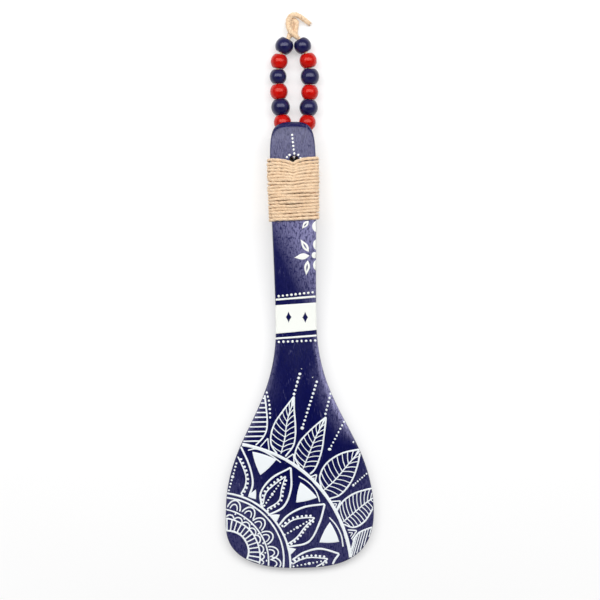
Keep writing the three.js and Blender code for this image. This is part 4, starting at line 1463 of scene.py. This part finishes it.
# %% Rows of dots
DOT_ROWS = [
    # points along the row, number of dots, size in millimetres, size of the last one
    ([(299.8, 374), (294, 394.1)], 6, 1.85, 1.9),
    ([(316.8, 381.9), (302.2, 428.2)], 13, 1.75, 2.5),
    ([(330.5, 393.9), (325.5, 413.9)], 6, 1.65, 1.65),
    ([(343.9, 422), (329.6, 449.4)], 9, 1.45, 2.3),
    ([(266.8, 392.6), (269.3, 403.5), (270.1, 417.5)], 7, 1.6, 1.7),
    ([(366.5, 473.8), (353.4, 485.2)], 7, 1.3, 1.9),
    ([(292.1, 134.9), (293.6, 149.6)], 5, 1.55, 1.55),
]
SINGLE_DOTS = [
    ((301.5, 368.8), 0.7), ((312.7, 377.4), 0.7), ((353.4, 442.1), 1.4), ((286.9, 157.2), 1.6),
    ((289.6, 155), 1.6), ((294.3, 153.5), 1.6), ((298.3, 154.9), 1.6), ((300.6, 158.2), 1.6),
]
for pixels, count, size, last_size in DOT_ROWS:
    dotted_row(pixels, count, size, last_size, count - 1)
for pixel, size in SINGLE_DOTS:
    dot(from_photo(pixel), size)
print("rows of dots:", len(DOT_ROWS))

# %% Band with two diamonds
BAND_TOP, BAND_BOTTOM = [(276.8, 304.9), (316.2, 302.2)], [(277.2, 333.9), (317.3, 330.1)]
BAND_LINES = [[(274, 299.9), (319, 296.3)], [(274, 338.7), (320, 335.3)]]
BAND_DOT_ROWS = [[(278.7, 296.2), (312.6, 292.4)], [(278.9, 342), (315.2, 340.5)]]
BAND_LINE_WIDTH, BAND_DOTS, BAND_DOT = 1.4, 9, 1.75
BAND_HEIGHT, BAND_ROWS, BAND_COLUMNS, BAND_EDGE, BAND_STEEPEST = 0.14, 26, 48, 0.12, 0.02
BAND_BORDER_HEIGHT, BAND_BORDER_COVER = -0.05, 0.2
DIAMONDS, DIAMOND_HALF = [(288.6, 317.1), (305.2, 317.3)], (3.0, 6.1)
DIAMOND_HEIGHT, DIAMOND_BULGE = BAND_HEIGHT + 0.12, -0.05
navy = {"points": [], "faces": [], "cover": []}

top_line, bottom_line = on_wood(BAND_TOP), on_wood(BAND_BOTTOM)
band = []
for k in range(BAND_ROWS + 1):
    start, end = top_line + k / BAND_ROWS * (bottom_line - top_line)
    tilt = (end - start)[1] / (end - start)[0]
    reach = float(half_width(start[1])) - BAND_EDGE
    x = -reach * np.cos(np.linspace(0, math.pi, BAND_COLUMNS))
    row = np.stack([x, start[1] + tilt * (x - start[0])], axis=1)
    border = k in (0, BAND_ROWS)
    lifts = [BAND_BORDER_HEIGHT if border else BAND_HEIGHT] * len(row)
    covers = [BAND_BORDER_COVER if border else 1] * len(row)
    band.append(add_row(white, row, lifts, covers, BAND_STEEPEST))
join_rows(white, band)
for pixels in BAND_LINES:
    stroke(on_wood(pixels), BAND_LINE_WIDTH)
for pixels in BAND_DOT_ROWS:
    dotted_row(pixels, BAND_DOTS, BAND_DOT)
for pixel in DIAMONDS:
    wide, tall = np.array(DIAMOND_HALF) * PIXEL
    corners = from_photo(pixel) + np.array([(wide, 0), (0, tall), (-wide, 0), (0, -tall)])
    fill(corners, DIAMOND_HEIGHT, DIAMOND_BULGE, navy)
print("points of the diamonds:", len(navy["points"]))

# %% Half a flower at the handle's edge
# tip and base of a petal, and half its width in pixels
FLOWER_FILLS = [((294, 257.7), (309.6, 255.6), 3.2)]
FLOWER_HEARTS = [
    ((300.4, 239.2), (308.9, 252), 2.9),
    ((306.1, 275.8), (307.8, 260.2), 2.9),
    ((301.7, 228.9), (308.6, 220.6), 2.5),
]
FLOWER_ROUNDS = [
    # middle and half sizes in pixels of the round shapes that the edge cuts off
    ((314.6, 255.2), (3.0, 3.2)),
    ((318.2, 244.6), (5.2, 5.9)),
    ((318.2, 265.2), (5.2, 5.9)),
    ((318.5, 226.4), (6.4, 6.2)),
]
HEART_SHARE, HEART_WIDTH, HEART_HEIGHT = (0.3, 0.78), 0.27, 0.32
PETAL_POINTS, PETAL_FULLEST, ROUND_SIDES = 16, 1.25, 36


def petal_outline(tip, base, half, fullest=PETAL_FULLEST):
    """A drop shape: pointed at the tip, widest past its middle and closed round the base."""
    start, end = on_wood([tip, base])
    ahead = end - start
    aside = left_of(ahead) / np.linalg.norm(ahead)
    share = np.linspace(0, 1, PETAL_POINTS)
    width = half * PIXEL * np.sin(math.pi * share ** fullest)
    right = start + share[:, None] * ahead + width[:, None] * aside
    left = start + share[:, None] * ahead - width[:, None] * aside
    return np.vstack([right, left[-2:0:-1]])


for tip, base, half in FLOWER_FILLS + FLOWER_HEARTS:
    blob(petal_outline(tip, base, half), FILL_HEIGHT)
for tip, base, half in FLOWER_HEARTS:
    ends = [np.array(tip) + share * (np.array(base) - np.array(tip)) for share in HEART_SHARE]
    blob(petal_outline(*ends, half * HEART_WIDTH, 1), HEART_HEIGHT, paint=navy)
for middle, (wide, tall) in FLOWER_ROUNDS:
    blob(ellipse(from_photo(middle), PIXEL * wide, PIXEL * tall, ROUND_SIDES), FILL_HEIGHT)

for name, paint, material in (("white_ornament", white, white_paint), ("navy_details", navy, navy_paint)):
    piece = make_piece(name, paint["points"], paint["faces"], material)
    mark_points(piece, "cover", paint["cover"])
    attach(piece, "spoon")
    print(piece.name, "faces", len(piece.data.polygons))
